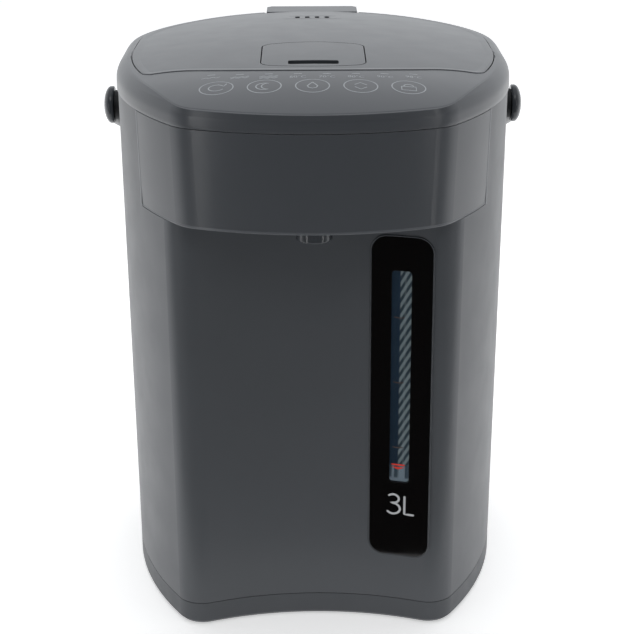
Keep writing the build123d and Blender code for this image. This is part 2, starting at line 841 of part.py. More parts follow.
with BuildPart() as pump_housing:
    add(tube(0, drain_y, pump_bottom, pump_top, pump_radius))
    add(tube(0, drain_y, pump_top, pump_top + spigot_length, drain_radius))
    with BuildSketch(Plane.XZ.offset(-drain_y + pump_radius - 4)):
        with Locations((0, outlet_z)):
            Circle(spigot_radius)
    extrude(amount=4 + spigot_length)
    chamber = (pump_bottom + pump_wall, pump_top - pump_wall)
    add(tube(0, drain_y, *chamber, pump_radius - pump_wall), mode=Mode.SUBTRACT)
    add(tube(0, drain_y, pump_top - pump_wall, pump_top + spigot_length, drain_bore), mode=Mode.SUBTRACT)
    add(tube(0, drain_y, pump_bottom, pump_bottom + pump_wall, shaft_radius + shaft_play), mode=Mode.SUBTRACT)
    with BuildSketch(Plane.XZ.offset(-drain_y + pump_radius - 4)):
        with Locations((0, outlet_z)):
            Circle(spigot_bore)
    extrude(amount=4 + spigot_length, mode=Mode.SUBTRACT)
save(pump_housing, "pump_housing")

with BuildPart() as pump_impeller:
    impeller_bottom = pump_bottom + pump_wall + 1.5
    add(tube(0, drain_y, impeller_bottom, impeller_bottom + 1.6, impeller_radius))
    add(tube(0, drain_y, impeller_bottom, impeller_bottom + impeller_height, 4))
    add(tube(0, drain_y, motor_top - 7, impeller_bottom, shaft_radius))
    with BuildSketch(Plane.XY.offset(impeller_bottom + 1.6)):
        with Locations((0, drain_y)):
            with PolarLocations(impeller_radius / 2 + 1, blade_count):
                Rectangle(impeller_radius - 3, blade_thickness, rotation=25)
    extrude(amount=impeller_height - 1.6)
save(pump_impeller, "pump_impeller")

hose_bore = spigot_radius + hose_play
hose_radius = hose_bore + hose_wall
with BuildPart() as suction_hose:
    add(
        tube(
            0,
            drain_y,
            pump_top + 1,
            pot_floor - pot_wall - 1,
            drain_radius + hose_play + hose_wall,
            drain_radius + hose_play,
        )
    )
save(suction_hose, "suction_hose")

outlet_y = drain_y - pump_radius
with BuildPart() as delivery_hose:
    add(
        hose(
            [
                (0, outlet_y - 1, outlet_z),
                (0, hose_front, outlet_z),
                (gauge_x, tube_y, outlet_z),
                (gauge_x, tube_y, tube_bottom + hose_overlap),
            ],
            hose_bend,
            hose_radius,
            hose_bore,
        )
    )
save(delivery_hose, "delivery_hose")

with BuildPart() as riser_hose:
    add(
        hose(
            [
                (gauge_x, tube_y, tube_top - hose_overlap),
                (gauge_x, tube_y, riser_top),
                (0, spout_y, riser_top),
                (0, spout_y, spout_top - hose_overlap),
            ],
            hose_bend,
            hose_radius,
            hose_bore,
        )
    )
save(riser_hose, "riser_hose")

# ---------------------------------------------------------------- water gauge
bezel_face = recess_radius - gauge_proud
with BuildPart() as gauge_bezel:
    add(
        gauge_plate(
            gauge_width + 2 * bezel_flange,
            gauge_bottom - bezel_flange,
            gauge_top + bezel_flange,
            gauge_corner + bezel_flange,
            recess_radius + wall + 0.1,
            recess_radius + wall + bezel_flange_thickness,
        )
    )
    # the flange stops short of the wall where the recess turns into the side
    add(casing(0, sky, body_half(gauge_bottom), recess_front, wall + 0.1), mode=Mode.INTERSECT)
    bezel_back = recess_radius + wall + 0.2
    add(gauge_plate(gauge_width, gauge_bottom, gauge_top, gauge_corner, bezel_face, bezel_back))
    add(
        gauge_plate(window_width, window_bottom, window_top, window_corner, bezel_face - 1, bezel_face + 9),
        mode=Mode.SUBTRACT,
    )
    add(
        gauge_plate(
            window_width + 2 * window_rim + 0.4,
            window_bottom - window_rim - 0.2,
            window_top + window_rim + 0.2,
            window_corner,
            bezel_face + window_depth,
            bezel_face + 9,
        ),
        mode=Mode.SUBTRACT,
    )
save(gauge_bezel, "gauge_bezel")

with BuildPart() as gauge_window:
    add(
        gauge_plate(
            window_width + 2 * window_rim,
            window_bottom - window_rim,
            window_top + window_rim,
            window_corner,
            bezel_face + window_depth + 0.1,
            bezel_face + window_depth + window_thickness,
        )
    )
save(gauge_window, "gauge_window")

with BuildPart() as sight_tube:
    add(tube(gauge_x, tube_y, tube_bottom, tube_top, tube_radius, tube_bore))
save(sight_tube, "sight_tube")

with BuildPart() as gauge_channel:
    front = recess_wall(0, 0) - 20
    x0, x1 = gauge_x - channel_half, gauge_x + channel_half
    add(block(x0, x1, front, channel_back, channel_bottom, channel_top))
    add(
        block(
            gauge_x - channel_inner,
            gauge_x + channel_inner,
            front,
            channel_back - channel_wall,
            channel_bottom,
            channel_top,
        ),
        mode=Mode.SUBTRACT,
    )
    keep_out = recess_radius + wall + bezel_flange_thickness + 0.1
    add(tube(0, -recess_reach - recess_radius, 0, sky, keep_out), mode=Mode.SUBTRACT)
    for z in (channel_bottom, channel_top - 3):
        add(
            block(
                gauge_x - channel_inner,
                gauge_x + channel_inner,
                tube_y - 1,
                channel_back - channel_wall,
                z,
                z + 3,
            )
        )
    add(tube(gauge_x, tube_y, 0, sky, hose_radius + 0.2), mode=Mode.SUBTRACT)
save(gauge_channel, "gauge_channel")

# ---------------------------------------------------------------- spout housing and nozzle
housing_top = body_top
housing_half = cover_half - housing_taper
with BuildPart() as front_housing:
    add(plan(housing_bottom, housing_half, cover_front, housing_chamfer))
    add(plan(housing_bottom + housing_chamfer, housing_half, cover_front))
    add(plan(housing_top, cover_half, cover_front))
    loft(ruled=True)
    add(plan(housing_bottom + housing_floor, housing_half, cover_front, housing_wall))
    add(plan(housing_top, cover_half, cover_front, housing_wall))
    loft(ruled=True, mode=Mode.SUBTRACT)
    add(casing(housing_bottom - 1, sky, seat_half, recess_front, joggle), mode=Mode.SUBTRACT)
    add(block(-beyond, beyond, housing_side_y, beyond, housing_bottom - 1, sky), mode=Mode.SUBTRACT)
    spout_hole = spout_radius + spout_play
    add(tube(0, spout_y, housing_bottom - 1, housing_bottom + 5, spout_hole), mode=Mode.SUBTRACT)
save(front_housing, "front_housing")

spout_seat = housing_bottom + housing_floor + 0.1
with BuildPart() as spout_nozzle:
    add(tube(0, spout_y, spout_bottom, spout_seat, spout_radius))
    fillet(spout_nozzle.edges().group_by(Axis.Z)[0], 1.2)
    add(tube(0, spout_y, spout_seat, spout_seat + spout_flange_thickness, spout_flange))
    add(tube(0, spout_y, spout_seat, spout_top, spigot_radius))
    add(tube(0, spout_y, spout_bottom, spout_bottom + spout_mouth_depth, spout_mouth), mode=Mode.SUBTRACT)
    add(tube(0, spout_y, spout_bottom, spout_top, spout_bore), mode=Mode.SUBTRACT)
save(spout_nozzle, "spout_nozzle")


# ---------------------------------------------------------------- top cover
def cover_solid(inset, dome):
    """Casing of the top cover: upright rim, rolled shoulder and domed top."""
    with BuildPart() as solid:
        add(plan(cover_seam, cover_half, cover_front, inset))
        for share in shoulder_steps:
            drop = shoulder_run * (1 - math.sqrt(1 - share**2))
            add(plan(shoulder_start + share * shoulder_rise, cover_half - drop, cover_front, inset))
        add(plan(sky, cover_half - drop, cover_front, inset))
        loft(ruled=True)
        add(dome, mode=Mode.INTERSECT)
    return solid.part


well_top = notch_floor
strike_bottom = bolt_bottom - bolt_play
strike_top = bolt_bottom + bolt_height + bolt_play
boss_places = [
    (x * board_boss_x, board_y + y * board_boss_reach)
    for x in (-1, 1)
    for y in (-1, 1)
]
board_top = board_level + board_thickness

with BuildPart() as film_pocket:
    add(slab(film_plan(well_floor, film_gap), sky - well_floor))
    add(crown(film_thickness + 0.05), mode=Mode.SUBTRACT)

with BuildPart() as lid_well:
    add(slab(lid_plan(well_floor - wall, lid_gap + wall), sky - well_floor))
    add(crown_face, mode=Mode.INTERSECT)

with BuildPart() as cover_lip:
    add(casing(cover_seam + 0.1, cover_seam + 2, body_half_top, recess_front, joggle))
    add(casing(cover_seam - lip_height, cover_seam + 1, body_half_top, recess_front, lip_inset))
    lip_hollow = casing(cover_seam - lip_height - 1, sky, body_half_top, recess_front, lip_inset + lip_wall)
    add(lip_hollow, mode=Mode.SUBTRACT)
    add(block(-beyond, beyond, -beyond, lip_end - lid_front, 0, sky), mode=Mode.SUBTRACT)

cover_outside = cover_solid(0, crown_face)
with BuildPart() as top_cover:
    add(cover_outside)
    add(cover_solid(wall, crown_wall), mode=Mode.SUBTRACT)
    for x, y in boss_places:
        add(tube(x, y, board_top, crown_height(x, y) - 1.5, board_boss))
    add(lid_well.part)
    add(slab(lid_plan(well_floor, lid_gap), sky - well_floor), mode=Mode.SUBTRACT)
    add(tube(0, 0, collar_bottom, sky, mouth_radius), mode=Mode.SUBTRACT)
    # lip that locates the cover inside the body
    add(cover_lip.part)
    # ears of the lid hinge, and the notch between them
    notch = tongue_half + side_gap
    add(block(-notch, notch, lid_half - notch_depth, cover_half + 3, notch_floor, sky), mode=Mode.SUBTRACT)
    for side in (-1, 1):
        x0, x1 = sorted((side * ear_inner, side * ear_outer))
        add(rod(hinge_y, hinge_z, x1, knuckle_radius, x0))
        add(block(x0, x1, cover_half - wall + 0.5, hinge_y, hinge_z - knuckle_radius, notch_floor))
    add(rod(hinge_y, hinge_z, ear_outer + 1, hinge_pin_radius + hinge_play), mode=Mode.SUBTRACT)
    # strike for the latch
    strike_half = bolt_half + bolt_play
    strike = block(-strike_half, strike_half, bolt_reach - 3, -lid_front, strike_bottom, strike_top)
    add(strike, mode=Mode.SUBTRACT)
    # control panel
    add(film_pocket.part, mode=Mode.SUBTRACT)
    for x, y in key_places:
        add(tube(x, y, board_top, sky, key_radius + key_play), mode=Mode.SUBTRACT)
    for x, y in light_places:
        half_x, half_y = light_size[0] / 2 + 0.3, light_size[1] / 2 + 0.3
        add(block(x - half_x, x + half_x, y - half_y, y + half_y, board_top, sky), mode=Mode.SUBTRACT)
    for x, y in boss_places:
        add(tube(x, y, board_top - 1, board_top + 6, board_screw + 0.05), mode=Mode.SUBTRACT)
save(top_cover, "top_cover")

with BuildPart() as well_collar:
    # ring under the mouth that the liner of the lid dips into
    add(tube(0, 0, collar_bottom, well_floor - wall, mouth_radius + collar_wall, mouth_radius))
save(well_collar, "well_collar")

with BuildPart() as control_film:
    add(slab(film_plan(well_floor), sky - well_floor))
    add(crown_face, mode=Mode.INTERSECT)
    add(crown(film_thickness), mode=Mode.SUBTRACT)
save(control_film, "control_film")

with BuildPart() as control_board:
    width, depth = board_size
    add(block(-width / 2, width / 2, board_y - depth / 2, board_y + depth / 2, board_level, board_top))
    for x, y in boss_places:
        add(tube(x, y, board_level - 1, board_top + 1, board_screw + 0.1), mode=Mode.SUBTRACT)
save(control_board, "control_board")

with BuildPart() as board_screws:
    for x, y in boss_places:
        add(tube(x, y, board_level - 1.5, board_level, board_screw_head))
        add(tube(x, y, board_level, board_top + 5, board_screw))
save(board_screws, "board_screws")

switch_top = board_top + switch_height + switch_button
with BuildPart() as tact_switches:
    half = switch_size / 2
    for x, y in key_places:
        add(block(x - half, x + half, y - half, y + half, board_top, board_top + switch_height))
        add(tube(x, y, board_top + switch_height, switch_top, 1.7))
save(tact_switches, "tact_switches")

with BuildPart() as indicator_lights:
    for x, y in light_places:
        half_x, half_y = light_size[0] / 2, light_size[1] / 2
        top = crown_height(abs(x) + half_x, y - half_y) - film_thickness - 0.15
        add(block(x - half_x, x + half_x, y - half_y, y + half_y, board_top, top))
save(indicator_lights, "indicator_lights")

for number, (x, y) in enumerate(key_places, 1):
    with BuildPart() as key_plunger:
        bottom = switch_top + key_lift
        top = crown_height(abs(x) + key_radius, y - key_radius) - film_thickness - 0.15
        flange = crown_height(abs(x) + key_flange, y - key_flange) - wall - 0.3
        add(tube(x, y, bottom, top, key_radius))
        add(tube(x, y, flange - key_flange_thickness, flange, key_flange))
    save(key_plunger, f"key_plunger_{number}")

# ---------------------------------------------------------------- lid
lid_inside = -lid_step - wall
well_y = (finger_front + finger_back) / 2
with BuildPart() as lever_pocket:
    add(slab(lever_plan(well_floor, lever_gap), sky - well_floor))
    add(crown(lever_depth), mode=Mode.SUBTRACT)

with BuildPart() as lever_walls:
    add(slab(lever_plan(well_floor, lever_gap + lever_pocket_wall), sky - well_floor))
    add(crown(0.5), mode=Mode.INTERSECT)
    add(crown(lever_depth + lever_pocket_floor), mode=Mode.SUBTRACT)

with BuildPart() as vent_dish:
    with BuildSketch(Plane.XY.offset(well_floor)):
        with Locations((0, vent_y)):
            RectangleRounded((vent_count + 1) * vent_pitch, vent_length + 6, 3)
    extrude(amount=sky - well_floor)
    add(crown(vent_dish_depth), mode=Mode.SUBTRACT)

lever_z = crown_height(0, lever_pin_y) - lever_pin_drop
finger_ceiling = crown_top - finger_top / 2
with BuildPart() as lever_room:
    add(rod(lever_pin_y, lever_z, lever_pin_half, lever_relief))
    add(crown(lever_relief_skin), mode=Mode.INTERSECT)

with BuildPart() as lid_hollow:
    add(slab(lid_plan(lid_bottom, lid_inside), sky - lid_bottom))
    add(crown_wall, mode=Mode.INTERSECT)

with BuildPart() as lid_edge:
    add(slab(lid_plan(well_floor), sky - well_floor))
    add(crown_face, mode=Mode.INTERSECT)
    add(crown(lid_cap), mode=Mode.SUBTRACT)

with BuildPart() as lid_outer:
    add(slab(lid_plan(lid_bottom, -lid_step), sky - lid_bottom))
    add(crown(lid_cap / 2), mode=Mode.INTERSECT)
    add(lid_hollow.part, mode=Mode.SUBTRACT)
    add(lid_edge.part)
    # finger well and the rails of the latch under it
    add(
        block(
            -finger_half - finger_wall,
            finger_half + finger_wall,
            finger_front - finger_wall,
            finger_back + finger_wall,
            finger_floor - finger_wall,
            crown_top - finger_top,
        )
    )
    add(lever_walls.part)
    rail_inner = bolt_half + bolt_play
    for side in (-1, 1):
        x0, x1 = sorted((side * rail_inner, side * (rail_inner + rail_width)))
        add(block(x0, x1, finger_front, finger_back, bolt_bottom - bolt_play, finger_floor - finger_wall))
        x0, x1 = sorted((side * (rail_inner - rail_lip), side * (rail_inner + rail_width)))
        add(block(x0, x1, finger_front, finger_back, bolt_bottom - bolt_play - 1.3, bolt_bottom - bolt_play))
    add(lever_pocket.part, mode=Mode.SUBTRACT)
    finger_well = block(-finger_half, finger_half, finger_front, finger_back, finger_floor, finger_ceiling)
    add(finger_well, mode=Mode.SUBTRACT)
    add(lever_room.part, mode=Mode.SUBTRACT)
    add(rod(lever_pin_y, lever_z, lever_pin_half + 0.5, lever_pin_hole), mode=Mode.SUBTRACT)
    # way for the latch through the skirt
    add(
        block(-rail_inner, rail_inner, -lid_front - 1, -lid_front + 8, strike_bottom, strike_top),
        mode=Mode.SUBTRACT,
    )
    # steam vents
    add(vent_dish.part, mode=Mode.SUBTRACT)
    with BuildSketch(Plane.XY.offset(well_floor)):
        with Locations((0, vent_y)):
            with GridLocations(vent_pitch, 0, vent_count, 1):
                SlotOverall(vent_length, vent_width, rotation=90)
    extrude(amount=sky - well_floor, mode=Mode.SUBTRACT)
    # tongue over the hinge, and its knuckle
    with BuildSketch(Plane.XY.offset(tongue_top - tongue_skin)):
        with BuildLine():
            back = tongue_end - tongue_chamfer
            near = lid_half - lid_step - 1
            Polyline(
                (-tongue_half, near),
                (-tongue_half, back),
                (-tongue_half + tongue_chamfer, tongue_end),
                (tongue_half - tongue_chamfer, tongue_end),
                (tongue_half, back),
                (tongue_half, near),
                close=True,
            )
        make_face()
    extrude(amount=tongue_skin)
    knuckle_half = ear_inner - side_gap
    add(block(-knuckle_half, knuckle_half, near, hinge_y, hinge_z, tongue_top - 0.5))
    add(rod(hinge_y, hinge_z, knuckle_half, knuckle_radius))
    add(rod(hinge_y, hinge_z, knuckle_half + 1, hinge_pin_radius + hinge_play), mode=Mode.SUBTRACT)
save(lid_outer, "lid_outer")

with BuildPart() as hinge_pin:
    add(rod(hinge_y, hinge_z, ear_outer, hinge_pin_radius))
save(hinge_pin, "hinge_pin")

gasket_bottom = well_floor + 0.3
flange_bottom = gasket_bottom + gasket_height + 0.1
liner_rim = lid_half + lid_inside - liner_fit
with BuildPart() as lid_inner:
    add(tube(0, 0, liner_bottom, flange_bottom + liner_flange, liner_radius))
    fillet(lid_inner.edges().group_by(Axis.Z)[0], 4)
    add(tube(0, 0, flange_bottom, flange_bottom + liner_flange, liner_rim))
    add(tube(0, 0, liner_bottom + liner_wall, sky, liner_radius - liner_wall), mode=Mode.SUBTRACT)
    add(tube(0, vent_y, 0, sky, steam_radius - 6), mode=Mode.SUBTRACT)
save(lid_inner, "lid_inner")

with BuildPart() as lid_gasket:
    add(tube(0, 0, gasket_bottom, gasket_bottom + gasket_height, gasket_outer, gasket_inner))
save(lid_gasket, "lid_gasket")

steam_bottom = liner_bottom + liner_wall + 0.1
with BuildPart() as steam_chamber:
    add(tube(0, vent_y, steam_bottom, steam_top, steam_radius, steam_radius - steam_wall))
    add(tube(0, vent_y, steam_bottom, steam_bottom + steam_wall, steam_radius, steam_radius - 6))
    with BuildSketch(Plane.XY.offset(steam_top)):
        with Locations((0, vent_y)):
            RectangleRounded(2 * steam_radius, vent_length + 8, 3)
            Circle(steam_radius - steam_wall, mode=Mode.SUBTRACT)
    extrude(amount=1.2)
save(steam_chamber, "steam_chamber")

# ---------------------------------------------------------------- release lever and latch
with BuildPart() as release_lever:
    add(slab(lever_plan(well_floor), sky - well_floor))
    add(crown_face, mode=Mode.INTERSECT)
    add(crown(lever_thickness), mode=Mode.SUBTRACT)
    add(rod(lever_pin_y, lever_z, lever_knuckle_half, lever_knuckle))
    add(rod(lever_pin_y, lever_z, lever_pin_half + 0.5, lever_pin_hole), mode=Mode.SUBTRACT)
    with BuildSketch(Plane.XY.offset(well_floor)):
        with Locations((0, (slot_front + slot_back) / 2)):
            RectangleRounded(2 * slot_half, slot_back - slot_front, slot_round)
    extrude(amount=sky - well_floor, mode=Mode.SUBTRACT)
save(release_lever, "release_lever")

with BuildPart() as lever_pin:
    add(rod(lever_pin_y, lever_z, lever_pin_half, lever_pin_radius))
save(lever_pin, "lever_pin")

with BuildPart() as latch_bolt:
    add(block(-bolt_half, bolt_half, bolt_reach, bolt_back, bolt_bottom, bolt_bottom + bolt_height))
    nose = latch_bolt.edges().filter_by(Axis.X).group_by(Axis.Y)[0].sort_by(Axis.Z)[0]
    chamfer(nose, bolt_nose)
save(latch_bolt, "latch_bolt")

# ---------------------------------------------------------------- power
board_width, board_depth = power_board_size
board_upper = power_board_level + board_thickness
with BuildPart() as power_board:
    with Locations((0, power_board_y, (power_board_level + board_upper) / 2)):
        Box(board_width, board_depth, board_thickness)
save(power_board, "power_board")

with BuildPart() as board_components:
    for (x, y), (width, length), height in board_blocks:
        y0, y1 = power_board_y + y - length / 2, power_board_y + y + length / 2
        add(block(x - width / 2, x + width / 2, y0, y1, board_upper, board_upper + height))
    for (x, y), radius, height in board_cans:
        add(tube(x, power_board_y + y, board_upper, board_upper + height, radius))
save(board_components, "board_components")

inlet_back = inlet_face - inlet_depth
recess_end = inlet_face - inlet_recess_depth
with BuildPart() as power_inlet:
    add(
        block(
            -inlet_width / 2,
            inlet_width / 2,
            inlet_back,
            inlet_face,
            inlet_z - inlet_height / 2,
            inlet_z + inlet_height / 2,
        )
    )
    flange_end = body_half(inlet_z) - wall - 6.5
    with BuildSketch(Plane.XZ.offset(-flange_end)):
        with Locations((0, inlet_z)):
            RectangleRounded(inlet_width + 2 * inlet_flange, inlet_height + 2 * inlet_flange, 3)
    extrude(amount=inlet_flange_thickness)
    with BuildSketch(Plane.XZ.offset(-recess_end)):
        with Locations((0, inlet_z)):
            RectangleRounded(inlet_recess_width, inlet_recess_height, 4)
    extrude(amount=-inlet_recess_depth - 1, mode=Mode.SUBTRACT)
save(power_inlet, "power_inlet")

with BuildPart() as inlet_pins:
    for x in (-pin_pitch, 0, pin_pitch):
        with BuildSketch(Plane.XZ.offset(-recess_end)):
            with Locations((x, inlet_z)):
                Circle(pin_radius)
        extrude(amount=-pin_length)
save(inlet_pins, "inlet_pins")

# ---------------------------------------------------------------- carrying handle
hub_outer = handle_inner + handle_thickness
rest_angle = math.radians(handle_rest)
rest_normal = (0, math.sin(rest_angle), math.cos(rest_angle))
rest_plane = Plane(origin=(0, 0, pivot_z), x_dir=(1, 0, 0), z_dir=rest_normal)
with BuildPart() as carry_handle:
    with BuildSketch(rest_plane.offset(-handle_width / 2)):
        Ellipse(hub_outer, handle_reach + handle_grip)
        Ellipse(handle_inner, handle_reach, mode=Mode.SUBTRACT)
        with Locations((0, -handle_reach)):
            Rectangle(3 * hub_outer, 2 * handle_reach, mode=Mode.SUBTRACT)
    extrude(amount=handle_width)
    for side in (-1, 1):
        x0, x1 = sorted((side * handle_inner, side * hub_outer))
        add(rod(0, pivot_z, x1, handle_hub, x0))
        add(rod(0, pivot_z, x1 + 1, pivot_radius + handle_play, x0 - 1), mode=Mode.SUBTRACT)
        x0, x1 = sorted((side * (hub_outer - cap_pocket), side * (hub_outer + 1)))
        add(rod(0, pivot_z, x1, cap_radius + 0.2, x0), mode=Mode.SUBTRACT)
save(carry_handle, "carry_handle")

pin_end = hub_outer - cap_thickness - 0.4
shell_half = body_half(pivot_z)
with BuildPart() as handle_pivots:
    for side in (-1, 1):
        steps = (
            (shell_half - wall - 3.2, shell_half - wall - 0.7, pivot_boss),
            (shell_half - wall - 1, shell_half + 0.5, spigot_radius + 1.4),
            (shell_half + 0.3, handle_inner - 0.4, pivot_boss),
            (handle_inner - 1, pin_end, pivot_radius),
        )
        for near, far, radius in steps:
            x0, x1 = sorted((side * near, side * far))
            add(rod(0, pivot_z, x1, radius, x0))
save(handle_pivots, "handle_pivots")

with BuildPart() as handle_caps:
    for side in (-1, 1):
        x0, x1 = sorted((side * (hub_outer - cap_thickness), side * (hub_outer + cap_dome)))
        add(rod(0, pivot_z, x1, cap_radius, x0))
    outer_rims = handle_caps.edges().group_by(Axis.X)
    fillet([*outer_rims[0], *outer_rims[-1]], cap_dome)
save(handle_caps, "handle_caps")
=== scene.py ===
import math
from functools import partial
import bmesh
import bpy
import numpy as np
from mathutils import Matrix, Vector


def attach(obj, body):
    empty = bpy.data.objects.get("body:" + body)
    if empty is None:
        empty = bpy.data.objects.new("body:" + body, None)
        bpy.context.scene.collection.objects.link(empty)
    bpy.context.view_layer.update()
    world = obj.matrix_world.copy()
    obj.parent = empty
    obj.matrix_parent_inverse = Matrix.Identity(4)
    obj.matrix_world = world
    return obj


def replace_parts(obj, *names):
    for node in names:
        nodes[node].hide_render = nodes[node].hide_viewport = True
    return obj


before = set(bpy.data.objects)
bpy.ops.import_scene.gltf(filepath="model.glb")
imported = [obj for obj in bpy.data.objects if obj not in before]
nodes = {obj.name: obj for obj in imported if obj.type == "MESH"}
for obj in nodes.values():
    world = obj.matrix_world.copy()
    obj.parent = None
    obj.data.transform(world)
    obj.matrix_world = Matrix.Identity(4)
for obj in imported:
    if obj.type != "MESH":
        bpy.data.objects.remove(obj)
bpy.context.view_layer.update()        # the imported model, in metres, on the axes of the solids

scene = bpy.context.scene
scene.view_settings.view_transform = "Standard"
mm = 0.001


def toLinear(code):
    values = [int(code[i:i + 2], 16) / 255 for i in (1, 3, 5)]
    return tuple(v / 12.92 if v <= 0.04045 else ((v + 0.055) / 1.055) ** 2.4 for v in values) + (1.0,)


# Sets and links a node's sockets. A hex colour is made linear, and a node stands for its first live output.
def setNode(node, values=None, links=None):
    for key, value in (values or {}).items():
        value = toLinear(value) if isinstance(value, str) and value[0] == "#" else value
        if isinstance(key, str) and hasattr(node, key):
            setattr(node, key, value)
        else:
            node.inputs[key].default_value = value
    for key, source in (links or {}).items():
        if hasattr(source, "outputs"):
            source = next(socket for socket in source.outputs if socket.enabled)
        node.id_data.links.new(source, node.inputs[key])
    return node


def addNode(tree, kind, values=None, links=None):
    return setNode(tree.nodes.new("ShaderNode" + kind), values, links)


def startMaterial(name):
    material = bpy.data.materials.new(name)
    material.use_nodes = True
    add = partial(addNode, material.node_tree)
    return material, material.node_tree.nodes["Principled BSDF"], add, add("TexCoord").outputs["Object"]


def perMetre(size):
    return 1000 / size       # a pattern's scale from the size of its features in millimetres


def shineSpan(look):         # from the middle of a noise's range to the finish's own roughness
    return {"From Min": 0.3, "From Max": 0.7, "To Min": look["rough"][0], "To Max": look["rough"][1]}


def tones(look):
    return {"data_type": "RGBA", 6: look["dark"], 7: look["light"]}


# A moulded or painted shell: cloudy tone, fine grain in the surface, softly broken edges that are a little paler,
# and a faint unevenness in the shine. Grain sizes are in millimetres.
def mouldedShell(name, look):
    material, shader, add, place = startMaterial(name)
    cloud = add("TexNoise", {"Scale": perMetre(look["cloud"]), "Detail": 3.0}, {"Vector": place})
    grain = add("TexNoise", {"Scale": perMetre(look["grain"]), "Detail": 2.0}, {"Vector": place})
    smear = add("TexNoise", {"Scale": perMetre(look["cloud"] / 3), "Detail": 5.0}, {"Vector": place})
    tone = add("Mix", tones(look), {0: cloud})
    soft = add("Bevel", {"samples": 4, "Radius": look["edge"] * mm})
    turned = add("VectorMath", {"operation": "DOT_PRODUCT"}, {0: soft, 1: add("NewGeometry").outputs["Normal"]})
    worn = add("MapRange", {"From Min": 0.995, "From Max": 0.8, "To Max": look["wear"]}, {"Value": turned})
    rubbed = add("Mix", {"data_type": "RGBA", 7: look["worn"]}, {0: worn, 6: tone})
    shine = add("MapRange", shineSpan(look), {"Value": smear})
    bump = add("Bump", {"Strength": look["bump"], "Distance": look["depth"] * mm}, {"Height": grain, "Normal": soft})
    setNode(shader, {"IOR": 1.5}, {"Base Color": rubbed, "Roughness": shine, "Normal": bump})
    return material


# A drawn or rolled metal: fine lines along one axis, a thin dull film and a few stains.
def workedMetal(name, look):
    material, shader, add, place = startMaterial(name)
    lined = add("Mapping", {"Scale": look["lines"]}, {"Vector": place})
    lines = add("TexNoise", {"Scale": perMetre(look["grain"]), "Detail": 3.0}, {"Vector": lined})
    stain = add("TexNoise", {"Scale": perMetre(look["stain"]), "Detail": 4.0}, {"Vector": place})
    tone = add("Mix", tones(look), {0: stain})
    shine = add("MapRange", shineSpan(look), {"Value": lines})
    bump = add("Bump", {"Strength": 0.25, "Distance": 0.02 * mm}, {"Height": lines})
    setNode(shader, {"Metallic": 1.0}, {"Base Color": tone, "Roughness": shine, "Normal": bump})
    return material


# A see-through moulding: nearly clear, faintly tinted, with small ripples and a little haze from handling.
def clearMoulding(name, look):
    material, shader, add, place = startMaterial(name)
    ripple = add("TexNoise", {"Scale": perMetre(look["ripple"]), "Detail": 1.0}, {"Vector": place})
    haze = add("TexNoise", {"Scale": perMetre(look["haze"]), "Detail": 4.0}, {"Vector": place})
    shine = add("MapRange", shineSpan(look), {"Value": haze})
    tint = add("Mix", tones(look), {0: haze})
    bump = add("Bump", {"Strength": 0.1, "Distance": 0.05 * mm}, {"Height": ripple})
    setNode(shader, {"Transmission Weight": look["clear"], "IOR": look["ior"]},
            {"Base Color": tint, "Roughness": shine, "Normal": bump})
    return material


# Glass-fibre board under green lacquer: woven ground, darker tracks a tenth of an inch apart, glossy skin.
def circuitBoard(name, look):
    material, shader, add, place = startMaterial(name)
    tracks = add("TexBrick", {"Scale": perMetre(look["track"]), "Color1": look["light"], "Color2": look["dark"],
                              "Mortar": look["gap"], "Mortar Size": 0.06}, {"Vector": place})
    weave = add("TexNoise", {"Scale": perMetre(look["weave"]), "Detail": 2.0}, {"Vector": place})
    shine = add("MapRange", {"To Min": 0.25, "To Max": 0.45}, {"Value": weave})
    bump = add("Bump", {"Strength": 0.3, "Distance": 0.04 * mm}, {"Height": tracks.outputs["Fac"]})
    setNode(shader, None, {"Base Color": tracks, "Roughness": shine, "Normal": bump})
    return material


# Needled felt round the pot: matted fibres, pale, with no shine at all.
def needledFelt(name, look):
    material, shader, add, place = startMaterial(name)
    fibres = add("TexVoronoi", {"Scale": perMetre(look["fibre"])}, {"Vector": place})
    matted = add("TexNoise", {"Scale": perMetre(look["mat"]), "Detail": 6.0}, {"Vector": place})
    tone = add("Mix", tones(look), {0: matted})
    bump = add("Bump", {"Strength": 0.8, "Distance": 0.4 * mm}, {"Height": fibres})
    shine = add("MapRange", {"To Min": 0.85, "To Max": 1.0}, {"Value": matted})
    setNode(shader, None, {"Base Color": tone, "Roughness": shine, "Normal": bump})
    return material


